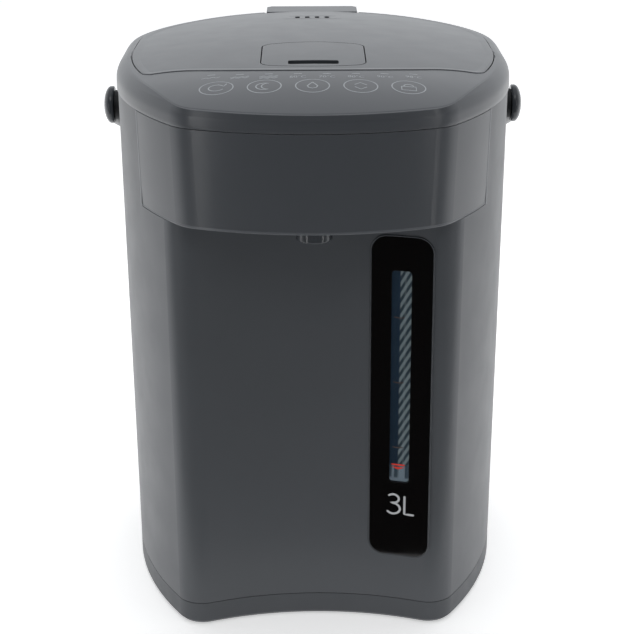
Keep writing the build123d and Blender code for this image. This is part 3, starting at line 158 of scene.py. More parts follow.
# The scale film behind the gauge: dark water tone on the left, slanted pale stripes on the right, a painted highlight
# line, and under the foot of the stripes a pale streaked belly and bottom line that are painted reflections. It is
# lit a little from within, a painted glow that stands in for light reaching the film through the window.
def stripedFilm(name, look):
    material, shader, add, place = startMaterial(name)
    split = add("SeparateXYZ", links={"Vector": place})
    across, up = split.outputs["X"], split.outputs["Z"]
    smooth, mix = {"interpolation_type": "SMOOTHSTEP"}, {"data_type": "RGBA"}
    lean = add("Math", {"operation": "MULTIPLY", 1: -look["slant"]}, {0: across})
    climb = add("Math", {"operation": "ADD"}, {0: up, 1: lean})
    turns = add("Math", {"operation": "MULTIPLY", 1: perMetre(look["pitch"]) * 2 * math.pi}, {0: climb})
    wave = add("Math", {"operation": "SINE"}, {0: turns})
    stripe = add("MapRange", {**smooth, "From Min": -look["blur"], "From Max": look["blur"]}, {"Value": wave})
    side = add("MapRange", {**smooth, "From Min": look["from"] * mm, "From Max": look["full"] * mm},
               {"Value": across})
    above = add("MapRange", {"From Min": look["foot"] * mm, "From Max": look["footEnd"] * mm}, {"Value": up})
    # A thin pale line down the film, a painted highlight:
    offLine = add("Math", {"operation": "SUBTRACT", 1: look["line"] * mm}, {0: across})
    nearLine = add("Math", {"operation": "ABSOLUTE"}, {0: offLine})
    line = add("MapRange", {**smooth, "From Min": look["lineEdge"] * mm, "From Max": look["lineCore"] * mm,
                            "To Max": look["highlightShow"]}, {"Value": nearLine})
    shown = add("Math", {"operation": "MULTIPLY"}, {0: stripe, 1: side})
    kept = add("Math", {"operation": "MULTIPLY"}, {0: shown, 1: above})
    long = add("Mapping", {"Scale": (1, 1, look["stretch"])}, {"Vector": place})
    streaks = add("TexNoise", {"Scale": perMetre(look["streak"]), "Detail": 1.0}, {"Vector": long})
    water = add("Mix", {**mix, 6: look["deep"], 7: look["water"]}, {0: streaks})
    # Below the foot of the stripes: pale streaks and a pale line along the bottom, painted reflections.
    bands = add("MapRange", {**smooth, "From Min": 0.42, "From Max": 0.6}, {"Value": streaks})
    bellyReflection = add("Mix", {**mix, 6: look["low"], 7: look["pale"]}, {0: bands})
    rim = add("MapRange", {**smooth, "From Min": look["rimEnd"] * mm, "From Max": look["rim"] * mm}, {"Value": up})
    bottom = add("Mix", {**mix, 7: look["pale"]}, {0: rim, 6: bellyReflection})
    sides = add("Mix", {**mix, 7: look["gap"]}, {0: side, 6: water})
    striped = add("Mix", {**mix, 7: look["stripe"]}, {0: kept, 6: sides})
    lined = add("Mix", {**mix, 7: look["paintedGlint"]}, {0: line, 6: striped})
    tone = add("Mix", mix, {0: above, 6: bottom, 7: lined})
    # The tone also glows faintly: painted light standing in for the light that reaches the film through the window.
    setNode(shader, {"Emission Strength": look["lit"], "Roughness": 0.55, "Specular IOR Level": 0.15},
            {"Base Color": tone, "Emission Color": tone})
    return material


ink = {"wear": 0.1, "edge": 0.1, "cloud": 3, "grain": 0.2, "bump": 0.2, "depth": 0.01, "rough": (0.45, 0.55)}
shellLooks = {
    # stoved paint on the steel body: very fine orange peel, silky
    "stovedPaintSteel": {"dark": "#4a4d51", "light": "#505358", "worn": "#6c6f74", "wear": 0.35, "edge": 0.5,
                         "cloud": 60, "grain": 1.2, "bump": 0.08, "depth": 0.02, "rough": (0.37, 0.42)},
    # satin moulded ABS of the cover, housing, lid and lever: fine spark-eroded grain
    "satinMouldedAbs": {"dark": "#4b4e52", "light": "#4e5156", "worn": "#74777c", "wear": 0.45, "edge": 0.45,
                        "cloud": 45, "grain": 0.5, "bump": 0.06, "depth": 0.02, "rough": (0.28, 0.31)},
    # the same plastic, paler and smoother, for the housing's edge beads: the paler tone is a painted highlight line
    "paleHighlightMouldedAbs": {"dark": "#5c5f64", "light": "#626569", "worn": "#74777c", "wear": 0.4, "edge": 0.3,
                         "cloud": 12, "grain": 0.5, "bump": 0.04, "depth": 0.02, "rough": (0.3, 0.36)},
    # the base ring is the same plastic, a little coarser from its mould
    "grainedMouldedAbs": {"dark": "#44474b", "light": "#4a4d52", "worn": "#6a6d72", "wear": 0.4, "edge": 0.5,
                          "cloud": 30, "grain": 0.6, "bump": 0.3, "depth": 0.03, "rough": (0.42, 0.5)},
    # polished black acrylic of the gauge: deep, with clear reflections
    "polishedBlackAcrylic": {"dark": "#060505", "light": "#090707", "worn": "#1c1e21", "wear": 0.3, "edge": 0.4,
                             "cloud": 40, "grain": 3.0, "bump": 0.03, "depth": 0.01, "rough": (0.05, 0.1)},
    # natural polypropylene inside: waxy white
    "naturalPolypropylene": {"dark": "#cfcec8", "light": "#dedcd6", "worn": "#eceae4", "wear": 0.3, "edge": 0.4,
                             "cloud": 25, "grain": 0.8, "bump": 0.2, "depth": 0.03, "rough": (0.42, 0.55)},
    # glass-filled nylon of the plate and the mechanism: dull, dark, slightly mottled
    "glassFilledNylon": {"dark": "#1b1c1e", "light": "#26282b", "worn": "#3a3c40", "wear": 0.4, "edge": 0.4,
                         "cloud": 8, "grain": 0.4, "bump": 0.4, "depth": 0.04, "rough": (0.5, 0.65)},
    # spout nozzle, hubs and gauge lip: the casing's grey, shinier because small parts come from polished moulds
    "polishedMouldedAbs": {"dark": "#3d4044", "light": "#45484c", "worn": "#74777c", "wear": 0.5, "edge": 0.5,
                           "cloud": 20, "grain": 1.5, "bump": 0.05, "depth": 0.02, "rough": (0.16, 0.22)},
    # platinum-cured silicone of seals and hoses: milky, soft shine
    "curedSilicone": {"dark": "#b9b8b2", "light": "#c9c8c2", "worn": "#d6d5cf", "wear": 0.2, "edge": 0.3,
                      "cloud": 15, "grain": 0.7, "bump": 0.2, "depth": 0.03, "rough": (0.45, 0.6)},
    # vulcanised rubber of the foot: near black, dull, chalky
    "vulcanisedRubber": {"dark": "#17181a", "light": "#222326", "worn": "#3c3d40", "wear": 0.5, "edge": 0.5,
                         "cloud": 12, "grain": 0.5, "bump": 0.5, "depth": 0.05, "rough": (0.7, 0.85)},
    # screen-printed inks: flat, with tiny pinholes, and the panel's pale grey a little duller
    "screenPrintInk": {**ink, "dark": "#9da1a5", "light": "#aaaeb2", "worn": "#b4b8bc", "rough": (0.5, 0.6)},
    "whiteScreenPrintInk": {**ink, "dark": "#b4b6b8", "light": "#c4c6c8", "worn": "#cccccc"},
    "redScreenPrintInk": {**ink, "dark": "#d8230f", "light": "#ea3418", "worn": "#f04a30"},
    "brownScreenPrintInk": {**ink, "dark": "#57463f", "light": "#66524a", "worn": "#705a50"},
}
metalLooks = {
    # deep-drawn stainless steel: lines run up the wall
    "drawnStainlessSteel": {"dark": "#b9babb", "light": "#cfd0d0", "lines": (6, 6, 0.4), "grain": 1.0, "stain": 30,
                            "rough": (0.2, 0.34)},
    # die-cast aluminium heater: coarse, greyer
    "castAluminium": {"dark": "#a9abad", "light": "#c3c5c7", "lines": (1, 1, 1), "grain": 0.6, "stain": 8,
                      "rough": (0.38, 0.55)},
    # zinc-plated steel pins and screws: cool grey with short drawn lines
    "zincPlatedSteel": {"dark": "#aeb1b5", "light": "#c6c9cc", "lines": (1, 6, 6), "grain": 0.5, "stain": 4,
                        "rough": (0.25, 0.4)},
    # turned brass pins of the inlet: warm, bright, with rings from the lathe
    "turnedBrass": {"dark": "#b58f45", "light": "#cfa95c", "lines": (1, 5, 1), "grain": 0.4, "stain": 3,
                    "rough": (0.2, 0.35)},
}
clearLooks = {
    # moulded polycarbonate window: clear and faintly blue, with long soft ripples
    "clearPolycarbonate": {"dark": "#dfe8ee", "light": "#eef4f8", "ripple": 9, "haze": 14, "rough": (0.02, 0.08),
                           "clear": 1.0, "ior": 1.585},
    # drawn borosilicate tube: clearer, with a green cast
    "borosilicateTube": {"dark": "#e6f0ee", "light": "#f2f8f6", "ripple": 12, "haze": 20, "rough": (0.01, 0.05),
                         "clear": 1.0, "ior": 1.47},
    # frosted acrylic light pipes: milky, dull
    "frostedAcrylic": {"dark": "#c9ced3", "light": "#dde1e5", "ripple": 3, "haze": 5, "rough": (0.35, 0.5),
                       "clear": 0.7, "ior": 1.49},
}
boardLook = {"track": 2.54, "weave": 0.4, "dark": "#0e3f24", "light": "#155430", "gap": "#0a2e1a"}
feltLook = {"fibre": 0.9, "mat": 6, "dark": "#bdbbb2", "light": "#d6d4cb"}
# Places across and up the film, line widths and streaks are in millimetres.
# The thin line is a painted highlight, the pale tone below the stripes a painted reflection, the glow painted light.
filmLook = {
    "slant": 1.8, "pitch": 6.0, "blur": 0.35, "from": 44.7, "full": 45.5, "foot": 92.5, "footEnd": 94.5,
    "line": 47.7, "lineEdge": 0.75, "lineCore": 0.2, "highlightShow": 0.18, "rim": 85.2, "rimEnd": 86.8,
    "streak": 2.2, "stretch": 0.04, "deep": "#364b5f", "water": "#445a70", "gap": "#56656e", "stripe": "#c0cccd",
    "low": "#6c7d8b", "pale": "#cbd9e4", "paintedGlint": "#f2f8fa", "lit": 0.15,
}
finish = {name: mouldedShell(name, look) for name, look in shellLooks.items()}
finish.update({name: workedMetal(name, look) for name, look in metalLooks.items()})
finish.update({name: clearMoulding(name, look) for name, look in clearLooks.items()})
finish["lacqueredGlassBoard"] = circuitBoard("lacqueredGlassBoard", boardLook)
finish["needledFelt"] = needledFelt("needledFelt", feltLook)
finish["stripedScaleFilm"] = stripedFilm("stripedScaleFilm", filmLook)
print("finishes made:", len(finish))

nodeFinish = {
    "stovedPaintSteel": ["body_shell"],
    "satinMouldedAbs": ["top_cover", "front_housing", "control_film", "lid_outer", "release_lever", "carry_handle",
                        "handle_caps"],
    "grainedMouldedAbs": ["base_ring"],
    "polishedMouldedAbs": ["spout_nozzle"],
    "polishedBlackAcrylic": ["gauge_bezel"],
    "naturalPolypropylene": ["lid_inner", "steam_chamber", "latch_bolt", "gauge_channel", "pump_housing",
                             "pump_impeller", "well_collar", "thermal_fuse"]
                            + [f"key_plunger_{number}" for number in range(1, 6)],
    "glassFilledNylon": ["base_plate", "power_inlet", "thermostat", "tact_switches", "board_components",
                         "handle_pivots"],
    "curedSilicone": ["pot_seal", "lid_gasket", "suction_hose", "delivery_hose", "riser_hose"],
    "vulcanisedRubber": ["foot_ring"],
    "drawnStainlessSteel": ["inner_pot", "pot_base", "pot_bracket", "pump_motor"],
    "castAluminium": ["heater_plate"],
    "zincPlatedSteel": ["base_screws", "board_screws", "hinge_pin", "lever_pin"],
    "turnedBrass": ["inlet_pins"],
    "clearPolycarbonate": ["gauge_window"],
    "borosilicateTube": ["sight_tube"],
    "frostedAcrylic": ["indicator_lights"],
    "lacqueredGlassBoard": ["control_board", "power_board"],
    "needledFelt": ["insulation_sleeve"],
}
for finishName, members in nodeFinish.items():
    for member in members:
        for holder in nodes[member].material_slots:
            holder.link = "OBJECT"
            holder.material = finish[finishName]
missing = sorted(set(nodes) - {member for members in nodeFinish.values() for member in members})
print("solids finished, left over:", missing)


# Four-sided faces between the points of a grid whose first index may close on itself.
def quadsOf(grid, aroundU, first=0):
    rows, columns = grid.shape[:2]
    index = first + np.arange(rows * columns).reshape(rows, columns)
    nextRow = np.roll(index, -1, 0) if aroundU else index[1:]
    here = index if aroundU else index[:-1]
    return np.stack([here[:, :-1], nextRow[:, :-1], nextRow[:, 1:], here[:, 1:]], -1).reshape(-1, 4)


def placePiece(name, mesh, material, body):
    mesh.materials.append(finish[material])
    piece = bpy.data.objects.new(name, mesh)
    scene.collection.objects.link(piece)
    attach(piece, body)
    return piece


# A piece from one or more grids of points in millimetres. Faces look away from the point "behind".
def gridPiece(name, grid, material, body="base", behind=(0, 0, 150), aroundU=False, keep=None,
              smooth=True, weld=False):
    grids = grid if isinstance(grid, list) else [grid]
    firsts = np.cumsum([0] + [part.shape[0] * part.shape[1] for part in grids])
    quads = np.concatenate([quadsOf(part, aroundU, first) for part, first in zip(grids, firsts)])
    points = np.concatenate([part.reshape(-1, 3) for part in grids])
    if keep is not None:
        quads = quads[keep(points[quads].mean(1))]
    corners = points[quads]
    across = np.cross(corners[:, 2] - corners[:, 0], corners[:, 3] - corners[:, 1])
    if (across * (corners.mean(1) - np.array(behind))).sum() < 0:
        quads = quads[:, ::-1]
    mesh = bpy.data.meshes.new(name)
    mesh.from_pydata((points * mm).tolist(), [], quads.tolist())
    if weld:                 # joins the rows that meet at a pole or along a seam
        shape = bmesh.new()
        shape.from_mesh(mesh)
        bmesh.ops.remove_doubles(shape, verts=shape.verts, dist=0.002 * mm)
        shape.to_mesh(mesh)
        shape.free()
    mesh.polygons.foreach_set("use_smooth", np.full(len(mesh.polygons), smooth))
    return placePiece(name, mesh, material, body)


# Right-hand meeting point of two circles.
def meet(centreA, radiusA, centreB, radiusB):
    dx, dy = centreB[0] - centreA[0], centreB[1] - centreA[1]
    gap = math.hypot(dx, dy)
    along = (radiusA ** 2 - radiusB ** 2 + gap ** 2) / (2 * gap)
    across = math.sqrt(radiusA ** 2 - along ** 2)
    foot = (centreA[0] + along * dx / gap, centreA[1] + along * dy / gap)
    return max((foot[0] + s * across * dy / gap, foot[1] - s * across * dx / gap) for s in (1, -1))


def angleTo(start, end):
    return math.atan2(end[1] - start[1], end[0] - start[0])


# An outline made of arcs that touch: each point is a centre plus (radius - inset) along its outward direction.
# The right half runs from the back to the front, and is mirrored for the left. It starts with a half circle and a
# straight run, and each further arc is a centre, a radius, the direction that it ends in, and its number of points.
def outlineFamily(half, straight, arcs):
    centres, radii, angles, turn = [], [], [], math.pi / 2
    runs = [((0, 0), (0, 0), half, 0, 56), ((0, 0), (0, -straight), half, 0, 8)]
    for centreFrom, centreTo, radius, end, count in runs + [(each[0], *each) for each in arcs]:
        share = np.linspace(0, 1, count, endpoint=False)[:, None]
        centres.append(np.array(centreFrom) * (1 - share) + np.array(centreTo) * share)
        radii.append(np.full(count, radius))
        angles.append(turn + (end - turn) * share[:, 0])
        turn = end
    centre = np.vstack(centres + [[centreTo]])
    radius, angle = np.append(np.concatenate(radii), radius), np.append(np.concatenate(angles), turn)
    way = np.stack([np.cos(angle), np.sin(angle)], -1)
    flip = np.array([-1, 1])
    centre = np.vstack([centre, (centre * flip)[-2:0:-1]])
    radius = np.concatenate([radius, radius[-2:0:-1]])
    way = np.vstack([way, (way * flip)[-2:0:-1]])
    return centre, radius, way


# The top cover. Its outline: half width, straight run behind the side arc, side, front and corner radii, and reach.
# Its rim and shoulder: heights, the ellipse's two radii, the skin's thickness, and the crease's softening.
cover = {
    "half": 108.9, "straight": 34.0, "side": 200.0, "reach": 171.5, "bow": 155.0, "corner": 27.0,
    "seam": 284.4, "rollFrom": 289.0, "rise": 11.5, "run": 12.0, "skin": 0.12, "easeTurn": 0.05, "ease": 0.6,
    "rim": ((1.4, 0.02), (0.3, 0.0), (0.08, 0.03), (0.0, 0.2), (0.0, 2.2), (0.0, 4.4)),     # inset and level
    "notch": 29.1, "notchFloor": 291.6,     # the gap at the back for the lid's hinge
    "backFrom": 0.3, "backOver": 0.4,       # where the round back ends, and over what turn, in radians
}
# The dome's highest point, its radii front to back and across, and where the front's tighter roll starts.
dome = {"top": 308.0, "ridge": -30.0, "long": 1032.0, "across": 600.0, "rollReach": 115.0, "roll": 265.0}
# The lid's margin inside the cover, its gap, its front reach and radius, and where its corner and wave stand.
lid = {"margin": 9.0, "gap": 0.6, "front": 115.5, "bow": 170.0, "waveX": 62.0, "cornerY": -101.0, "corner": 7.0}


# Height of the domed top: a ridge bent front to back, with a tighter roll at the front, turned about a low axis.
def domeHeight(x, y):
    lean = (dome["rollReach"] + dome["ridge"]) / dome["long"]
    rollY = dome["ridge"] - (dome["long"] - dome["roll"]) * lean
    rollZ = dome["top"] - dome["long"] + (dome["long"] - dome["roll"]) * math.sqrt(1 - lean ** 2)
    back = dome["top"] - dome["long"] + np.sqrt(dome["long"] ** 2 - (y - dome["ridge"]) ** 2)
    front = rollZ + np.sqrt(np.maximum(dome["roll"] ** 2 - (y - rollY) ** 2, 1))
    ridge = np.where(y >= -dome["rollReach"], back, front)
    axis = dome["top"] - dome["across"]
    return axis + np.sqrt((ridge - axis) ** 2 - x ** 2)


# Points on the cover's skin, which follows the dome a little above it.
def drape(points, lift=0.0):
    x, y = points[..., 0], points[..., 1]
    return np.stack([x, y, domeHeight(x, y) + cover["skin"] + lift], -1)


# Back half circle, short straight, side arc, corner arc and front bow.
def coverOutline(half):
    side, straight = cover["side"], cover["straight"]
    sideCentre = (half - side, -straight)
    frontCentre = (0, cover["bow"] - cover["reach"])
    cornerCentre = meet(sideCentre, side - cover["corner"], frontCentre, cover["bow"] - cover["corner"])
    sideTurn, frontTurn = angleTo(sideCentre, cornerCentre), angleTo(frontCentre, cornerCentre)
    return outlineFamily(half, straight, [
        (sideCentre, side, sideTurn, 20), (cornerCentre, cover["corner"], frontTurn, 30),
        (frontCentre, cover["bow"], -math.pi / 2, 36)])


# As the cover's, but the corner arc turns into a hollow wave before the front bow.
def lidOutline():
    half, straight, bow = cover["half"] - lid["margin"], cover["straight"], lid["bow"]
    side = cover["side"] - lid["margin"]
    sideCentre = (half - side, -straight)
    sideEnd = (sideCentre[0] + math.sqrt(side ** 2 - (lid["cornerY"] + straight) ** 2), lid["cornerY"])
    bowCentre = (0, bow - lid["front"])
    bowEnd = (lid["waveX"], bowCentre[1] - math.sqrt(bow ** 2 - lid["waveX"] ** 2))
    out = ((bowEnd[0] - bowCentre[0]) / bow, (bowEnd[1] - bowCentre[1]) / bow)
    dx, dy = bowEnd[0] - sideEnd[0], bowEnd[1] - sideEnd[1]
    wave = -(dx ** 2 + dy ** 2) / (2 * (dx * out[0] + dy * out[1]))
    waveCentre = (bowEnd[0] + out[0] * wave, bowEnd[1] + out[1] * wave)
    cornerCentre = meet(sideCentre, side - lid["corner"], waveCentre, wave + lid["corner"])
    sideTurn, waveTurn = angleTo(sideCentre, cornerCentre), angleTo(cornerCentre, waveCentre)
    bowTurn = angleTo(bowCentre, bowEnd)
    return outlineFamily(half, straight, [
        (sideCentre, side, sideTurn, 20), (cornerCentre, lid["corner"], waveTurn, 14),
        (waveCentre, -wave, bowTurn, 16), (bowCentre, bow, -math.pi / 2, 36)])


# An outline's points, moved inwards.
def inset(family, amount=0.0):
    centre, radius, way = family
    return centre + (radius[:, None] - amount) * way


coverFamily, lidFamily = coverOutline(cover["half"]), lidOutline()


# Points of one outline at the polar angles of another, about a point inside both.
def matched(line, like, hub=(0, -30)):
    turn = np.arctan2(line[:, 0] - hub[0], line[:, 1] - hub[1])
    order = np.argsort(turn)
    turn, line = turn[order], line[order]
    turn = np.concatenate([turn - 2 * math.pi, turn, turn + 2 * math.pi])
    line = np.concatenate([line] * 3)
    wanted = np.arctan2(like[:, 0] - hub[0], like[:, 1] - hub[1])
    return np.stack([np.interp(wanted, turn, line[:, i]) for i in (0, 1)], -1)


# Skin of the top cover. The profile climbs the rim, follows a quarter ellipse up to the dome, eases over the crease,
# and runs over the dome to the lid's seam.
def coverSkin():
    centre, radius, way = coverFamily
    skin, run, rise = cover["skin"], cover["run"], cover["rise"]
    share = np.clip((np.abs(np.arctan2(way[:, 0], way[:, 1])) - cover["backFrom"]) / cover["backOver"], 0, 1)
    share = np.where(way[:, 1] > 0, share ** 2 * (3 - 2 * share), 1)

    def around(amount):         # near the back the columns keep their x, so that the hinge notch has straight sides
        line = centre + (radius - amount)[:, None] * way
        x = np.where(share < 1, (radius - amount * share) * way[:, 0], line[:, 0])
        backY = np.sqrt(np.maximum((radius - amount) ** 2 - x ** 2, 0))
        return np.stack([x, np.where(share < 1, backY, line[:, 1])], -1)

    def rolled(turn):
        return run * (1 - np.cos(turn)), cover["rollFrom"] + rise * np.sin(turn)

    low, high = np.zeros(len(radius)), np.full(len(radius), 1.5)
    for _ in range(30):         # halving finds where the roll meets the dome
        middle = (low + high) / 2
        amount, level = rolled(middle)
        line = around(amount)
        below = level < domeHeight(line[:, 0], line[:, 1])
        low, high = np.where(below, middle, low), np.where(below, high, middle)
    rows = []
    for amount, level in cover["rim"]:
        line = around(np.full(len(radius), amount - skin))
        rows.append(np.column_stack([line, np.full(len(line), cover["seam"] + level)]))
    last = middle - cover["easeTurn"]
    for part in (0.15, 0.3, 0.45, 0.6, 0.72, 0.82, 0.9, 0.96, 1.0):
        amount, level = rolled(last * part)
        line = around(amount - skin * np.cos(last * part))
        rows.append(np.column_stack([line, level + skin * np.sin(last * part)]))
    # the crease is eased by a curve from the roll to the dome that leans on the crease's own point
    meetAmount = rolled(middle)[0]
    start, crest, ease = rows[-1], drape(around(meetAmount)), drape(around(meetAmount + cover["ease"]))
    for t in (0.2, 0.4, 0.6, 0.8, 1.0):
        rows.append(start * (1 - t) ** 2 + crest * 2 * t * (1 - t) + ease * t ** 2)
    rows += [drape(around(meetAmount + extra)) for extra in (0.9, 1.5, 2.4)]
    outer = rows[-1][:, :2]
    edge = matched(inset(lidFamily, -lid["gap"] + 0.02), outer)
    away = edge - outer
    rows += [drape(outer + away * part) for part in list(np.linspace(0, 1, 15)[1:-1]) + [0.98, 0.995]]
    inward = away / np.linalg.norm(away, axis=1, keepdims=True)
    rows += [drape(edge + inward * step, -drop) for step, drop in ((0.0, 0.05), (0.12, 0.3), (0.12, 1.2))]
    notched = lambda p: ~((np.abs(p[:, 0]) < cover["notch"]) & (p[:, 1] > 0) & (p[:, 2] > cover["notchFloor"]))
    return gridPiece("cover_skin", np.stack(rows, 1), "satinMouldedAbs", behind=(0, -30, 200), aroundU=True,
                     keep=notched)


coverSkin()
print("cover skin made")

# The housing's edges: a bead over the seam, along the housing's outline and up its two ends, whose paler tone is a
# painted highlight.
# The sections are steps outwards and upwards, and along and outwards at the ends.
housingEdge = {
    "low": 233.7, "high": 284.0, "lowHalf": 107.7, "growth": 1.2, "end": -115.2, "casingHalf": 107.95,
    "section": [(-0.03, 1.05), (0.03, 0.8), (0.1, 0.5), (0.12, 0.2), (0.08, -0.08), (-0.05, -0.25), (-0.3, -0.36),
                (-1.2, -0.38)],
    "endSection": [(-1.2, -0.1), (-0.8, 0.06), (-0.2, 0.14), (0.4, 0.08), (0.9, -0.5)],
}


# A section carried along the front of the cover's outline, which starts and stops on the side arcs at "end".
def housingBead():
    centre, radius, way = coverOutline(housingEdge["lowHalf"])
    line = centre + radius[:, None] * way
    chosen = line[:, 1] < housingEdge["end"]
    sideCentre = np.array([housingEdge["lowHalf"] - cover["side"], -cover["straight"]])
    drop = housingEdge["end"] + cover["straight"]
    first = sideCentre + (math.sqrt(cover["side"] ** 2 - drop ** 2), drop)
    firstWay = (first - sideCentre) / cover["side"]
    line = np.vstack([first, line[chosen], first * (-1, 1)])
    way = np.vstack([firstWay, way[chosen], firstWay * (-1, 1)])
    rows = [np.column_stack([line + way * out, np.full(len(line), housingEdge["low"] + up)])
            for out, up in housingEdge["section"]]
    return gridPiece("housing_bead", np.stack(rows, 1), "paleHighlightMouldedAbs", behind=(0, -30, 236))


# A section carried up one side, standing on whichever is wider there, the housing or the casing.
def housingEnd(name, side):
    level = np.linspace(housingEdge["low"] - 0.5, housingEdge["high"], 24)
    share = np.maximum(level - housingEdge["low"], 0) / (housingEdge["high"] - housingEdge["low"])
    half = np.maximum(housingEdge["lowHalf"] + housingEdge["growth"] * share, housingEdge["casingHalf"])
    rows = []
    for along, out in housingEdge["endSection"]:
        y = housingEdge["end"] + along
        x = half - cover["side"] + math.sqrt(cover["side"] ** 2 - (y + cover["straight"]) ** 2) + out
        rows.append(np.column_stack([side * x, np.full(len(level), y), level]))
    return gridPiece(name, np.stack(rows, 1), "paleHighlightMouldedAbs", behind=(0, -100, 260))


housingBead()
housingEnd("housing_end_right", 1)
housingEnd("housing_end_left", -1)
print("housing edges made")

lidEdge = {"wall": 1.3, "turn": 0.4, "proud": 0.1, "rise": 0.42, "reach": 6.0, "sink": 0.12, "hinge": 28.4}


# A low rim along the lid's outline, open at the hinge: a short wall, a quarter turn, and an S-curve that runs out
# inwards. Its section is set across the dome's slope at each point.
def lidRim(wall, turn, proud, rise, reach, sink, hinge):
    line, way, step = inset(lidFamily), lidFamily[2], 0.05
    z = domeHeight(line[:, 0], line[:, 1])
    slope = (domeHeight(line[:, 0] + way[:, 0] * step, line[:, 1] + way[:, 1] * step) - z) / step
    out = np.column_stack([way, slope])
    out /= np.linalg.norm(out, axis=1, keepdims=True)
    up = np.column_stack([-way * slope[:, None], np.ones(len(line))])
    up /= np.linalg.norm(up, axis=1, keepdims=True)
    kept = ~((np.abs(line[:, 0]) < hinge) & (line[:, 1] > 0))
    order = np.roll(np.arange(len(line)), -int(np.argmax(kept & ~np.roll(kept, 1))))
    order = order[kept[order]]
    line, out, up = np.column_stack([line, z])[order], out[order], up[order]
    section = [(-0.03, -wall), (proud, -wall * 0.8)]
    section += [(proud - turn + turn * math.cos(a), rise - turn + turn * math.sin(a))
                for a in np.linspace(0, math.pi / 2, 6)]
    section += [(proud - turn - (reach - turn) * t, (rise + sink) * (1 - t * t * (3 - 2 * t)) - sink)
                for t in np.linspace(0, 1, 9)[1:]]
    return gridPiece("lid_edge", np.stack([line + out * a + up * b for a, b in section], 1), "satinMouldedAbs",
                     "lid")


lidRim(**lidEdge)

# Steam vents: a shallow dish in the lid with four round-ended slots. "dish" is its width, length and corner.
vents = {
    "count": 4, "pitch": 5.9, "y": 46.0, "slot": (2.8, 9.8), "dish": (29.5, 16.0, 3.0), "reach": (17.4, 10.4),
    "depth": 0.2, "ramp": 1.6, "proud": 0.06, "lip": [(0, 2.0), (0, 0.3), (0.012, 0.1), (0.04, 0.02)],
}


# How far the skin lies below the dome: nothing outside a rounded rectangle, and an S-curve down inside it.
def ventDrop(x, y):
    wide, long, corner = vents["dish"]
    overX = np.abs(x) - wide / 2 + corner
    overY = np.abs(y - vents["y"]) - long / 2 + corner
    outside = np.hypot(np.maximum(overX, 0), np.maximum(overY, 0)) + np.minimum(np.maximum(overX, overY), 0)
    share = np.clip((corner - outside) / vents["ramp"], 0, 1)
    return vents["depth"] * share ** 2 * (3 - 2 * share) - vents["proud"]


# Each slot has its own patch: its wall, its lip, and straight lines from its outline to the edges of its share of the
# dish. The lip's pairs are a share of the way out and a drop.
def ventSkin():
    half, reach = vents["slot"][0] / 2, vents["slot"][1] / 2 - vents["slot"][0] / 2
    wide, long = vents["reach"]
    turn, climb = np.linspace(0, math.pi, 15), np.linspace(-1, 1, 21)[1:-1]
    wrap = lambda end, side: np.vstack([end, side[::-1] * (-1, 1), -end, side])
    slot = wrap(np.stack([half * np.cos(turn), reach + half * np.sin(turn)], -1),
                np.stack([0 * climb + half, reach * climb], -1))
    edge = wrap(np.stack([1 - 2 * turn / math.pi, 0 * turn + 1], -1), np.stack([0 * climb + 1, climb], -1))
    patches = []
    for number in range(vents["count"]):
        centre = (number - (vents["count"] - 1) / 2) * vents["pitch"]
        left = -wide if number == 0 else centre - vents["pitch"] / 2
        right = wide if number == vents["count"] - 1 else centre + vents["pitch"] / 2
        rim = np.stack([left + (right - left) * (edge[:, 0] + 1) / 2, vents["y"] + long * edge[:, 1]], -1)
        start = slot + (centre, vents["y"])
        rows = []
        for share, drop in vents["lip"] + [(share, 0) for share in np.linspace(0.08, 1, 16)]:
            line = start + (rim - start) * share
            level = domeHeight(line[:, 0], line[:, 1]) - ventDrop(line[:, 0], line[:, 1]) - drop
            rows.append(np.column_stack([line, level]))
        patches.append(np.stack(rows, 1))
    return gridPiece("vent_skin", patches, "satinMouldedAbs", "lid", (0, vents["y"], 200), True, weld=True)


ventSkin()
print("vents made")

# Printing on the panel: rings, marks and numbers, draped over the dome. A row bends back by its x squared over "arc".
panel = {
    "ringPitch": 24.1, "ringY": -138.8, "ringArc": 1000.0, "ring": 8.45, "ringLine": 0.55, "lift": 0.05, "sunk": -0.1,
    "signScale": 1.4, "signLine": 0.6, "shift": -0.6, "marks": 8, "markPitch": 14.76, "markY": -121.4,
    "markArc": 480.0, "markSize": (4.2, 0.8), "labelY": -126.3, "numbers": ("60", "70", "80", "90", "98"),
    "numberSize": 4.1, "waveHalf": 4.8, "waveTurn": 1.75, "waveHigh": 0.5, "wavePitch": 1.5, "waveLine": 0.55,
}


# The two edges of a printed line: half its width to each side, following a half circle at its ends.
def strokeEdges(path, width, steps, closed=False):
    path = np.array(path, float)
    if closed:
        way = np.roll(path, -1, 0) - np.roll(path, 1, 0)
        half = np.full(len(path), width / 2)
    else:
        along = np.concatenate([[0], np.cumsum(np.linalg.norm(np.diff(path, axis=0), axis=1))])
        ends = width / 2 * (1 - np.cos(np.linspace(0, math.pi / 2, steps)))
        stops = np.unique(np.concatenate([ends, np.clip(along, width / 2, along[-1] - width / 2), along[-1] - ends]))
        path = np.stack([np.interp(stops, along, path[:, i]) for i in (0, 1)], -1)
        way = np.gradient(path, axis=0)
        near = np.clip(np.minimum(stops, along[-1] - stops), 0, width / 2)
        half = np.sqrt(np.maximum((width / 2) ** 2 - (width / 2 - near) ** 2, 1e-6))
    way = way / np.linalg.norm(way, axis=1, keepdims=True)
    side = np.stack([-way[:, 1], way[:, 0]], -1) * half[:, None]
    return path + side, path - side


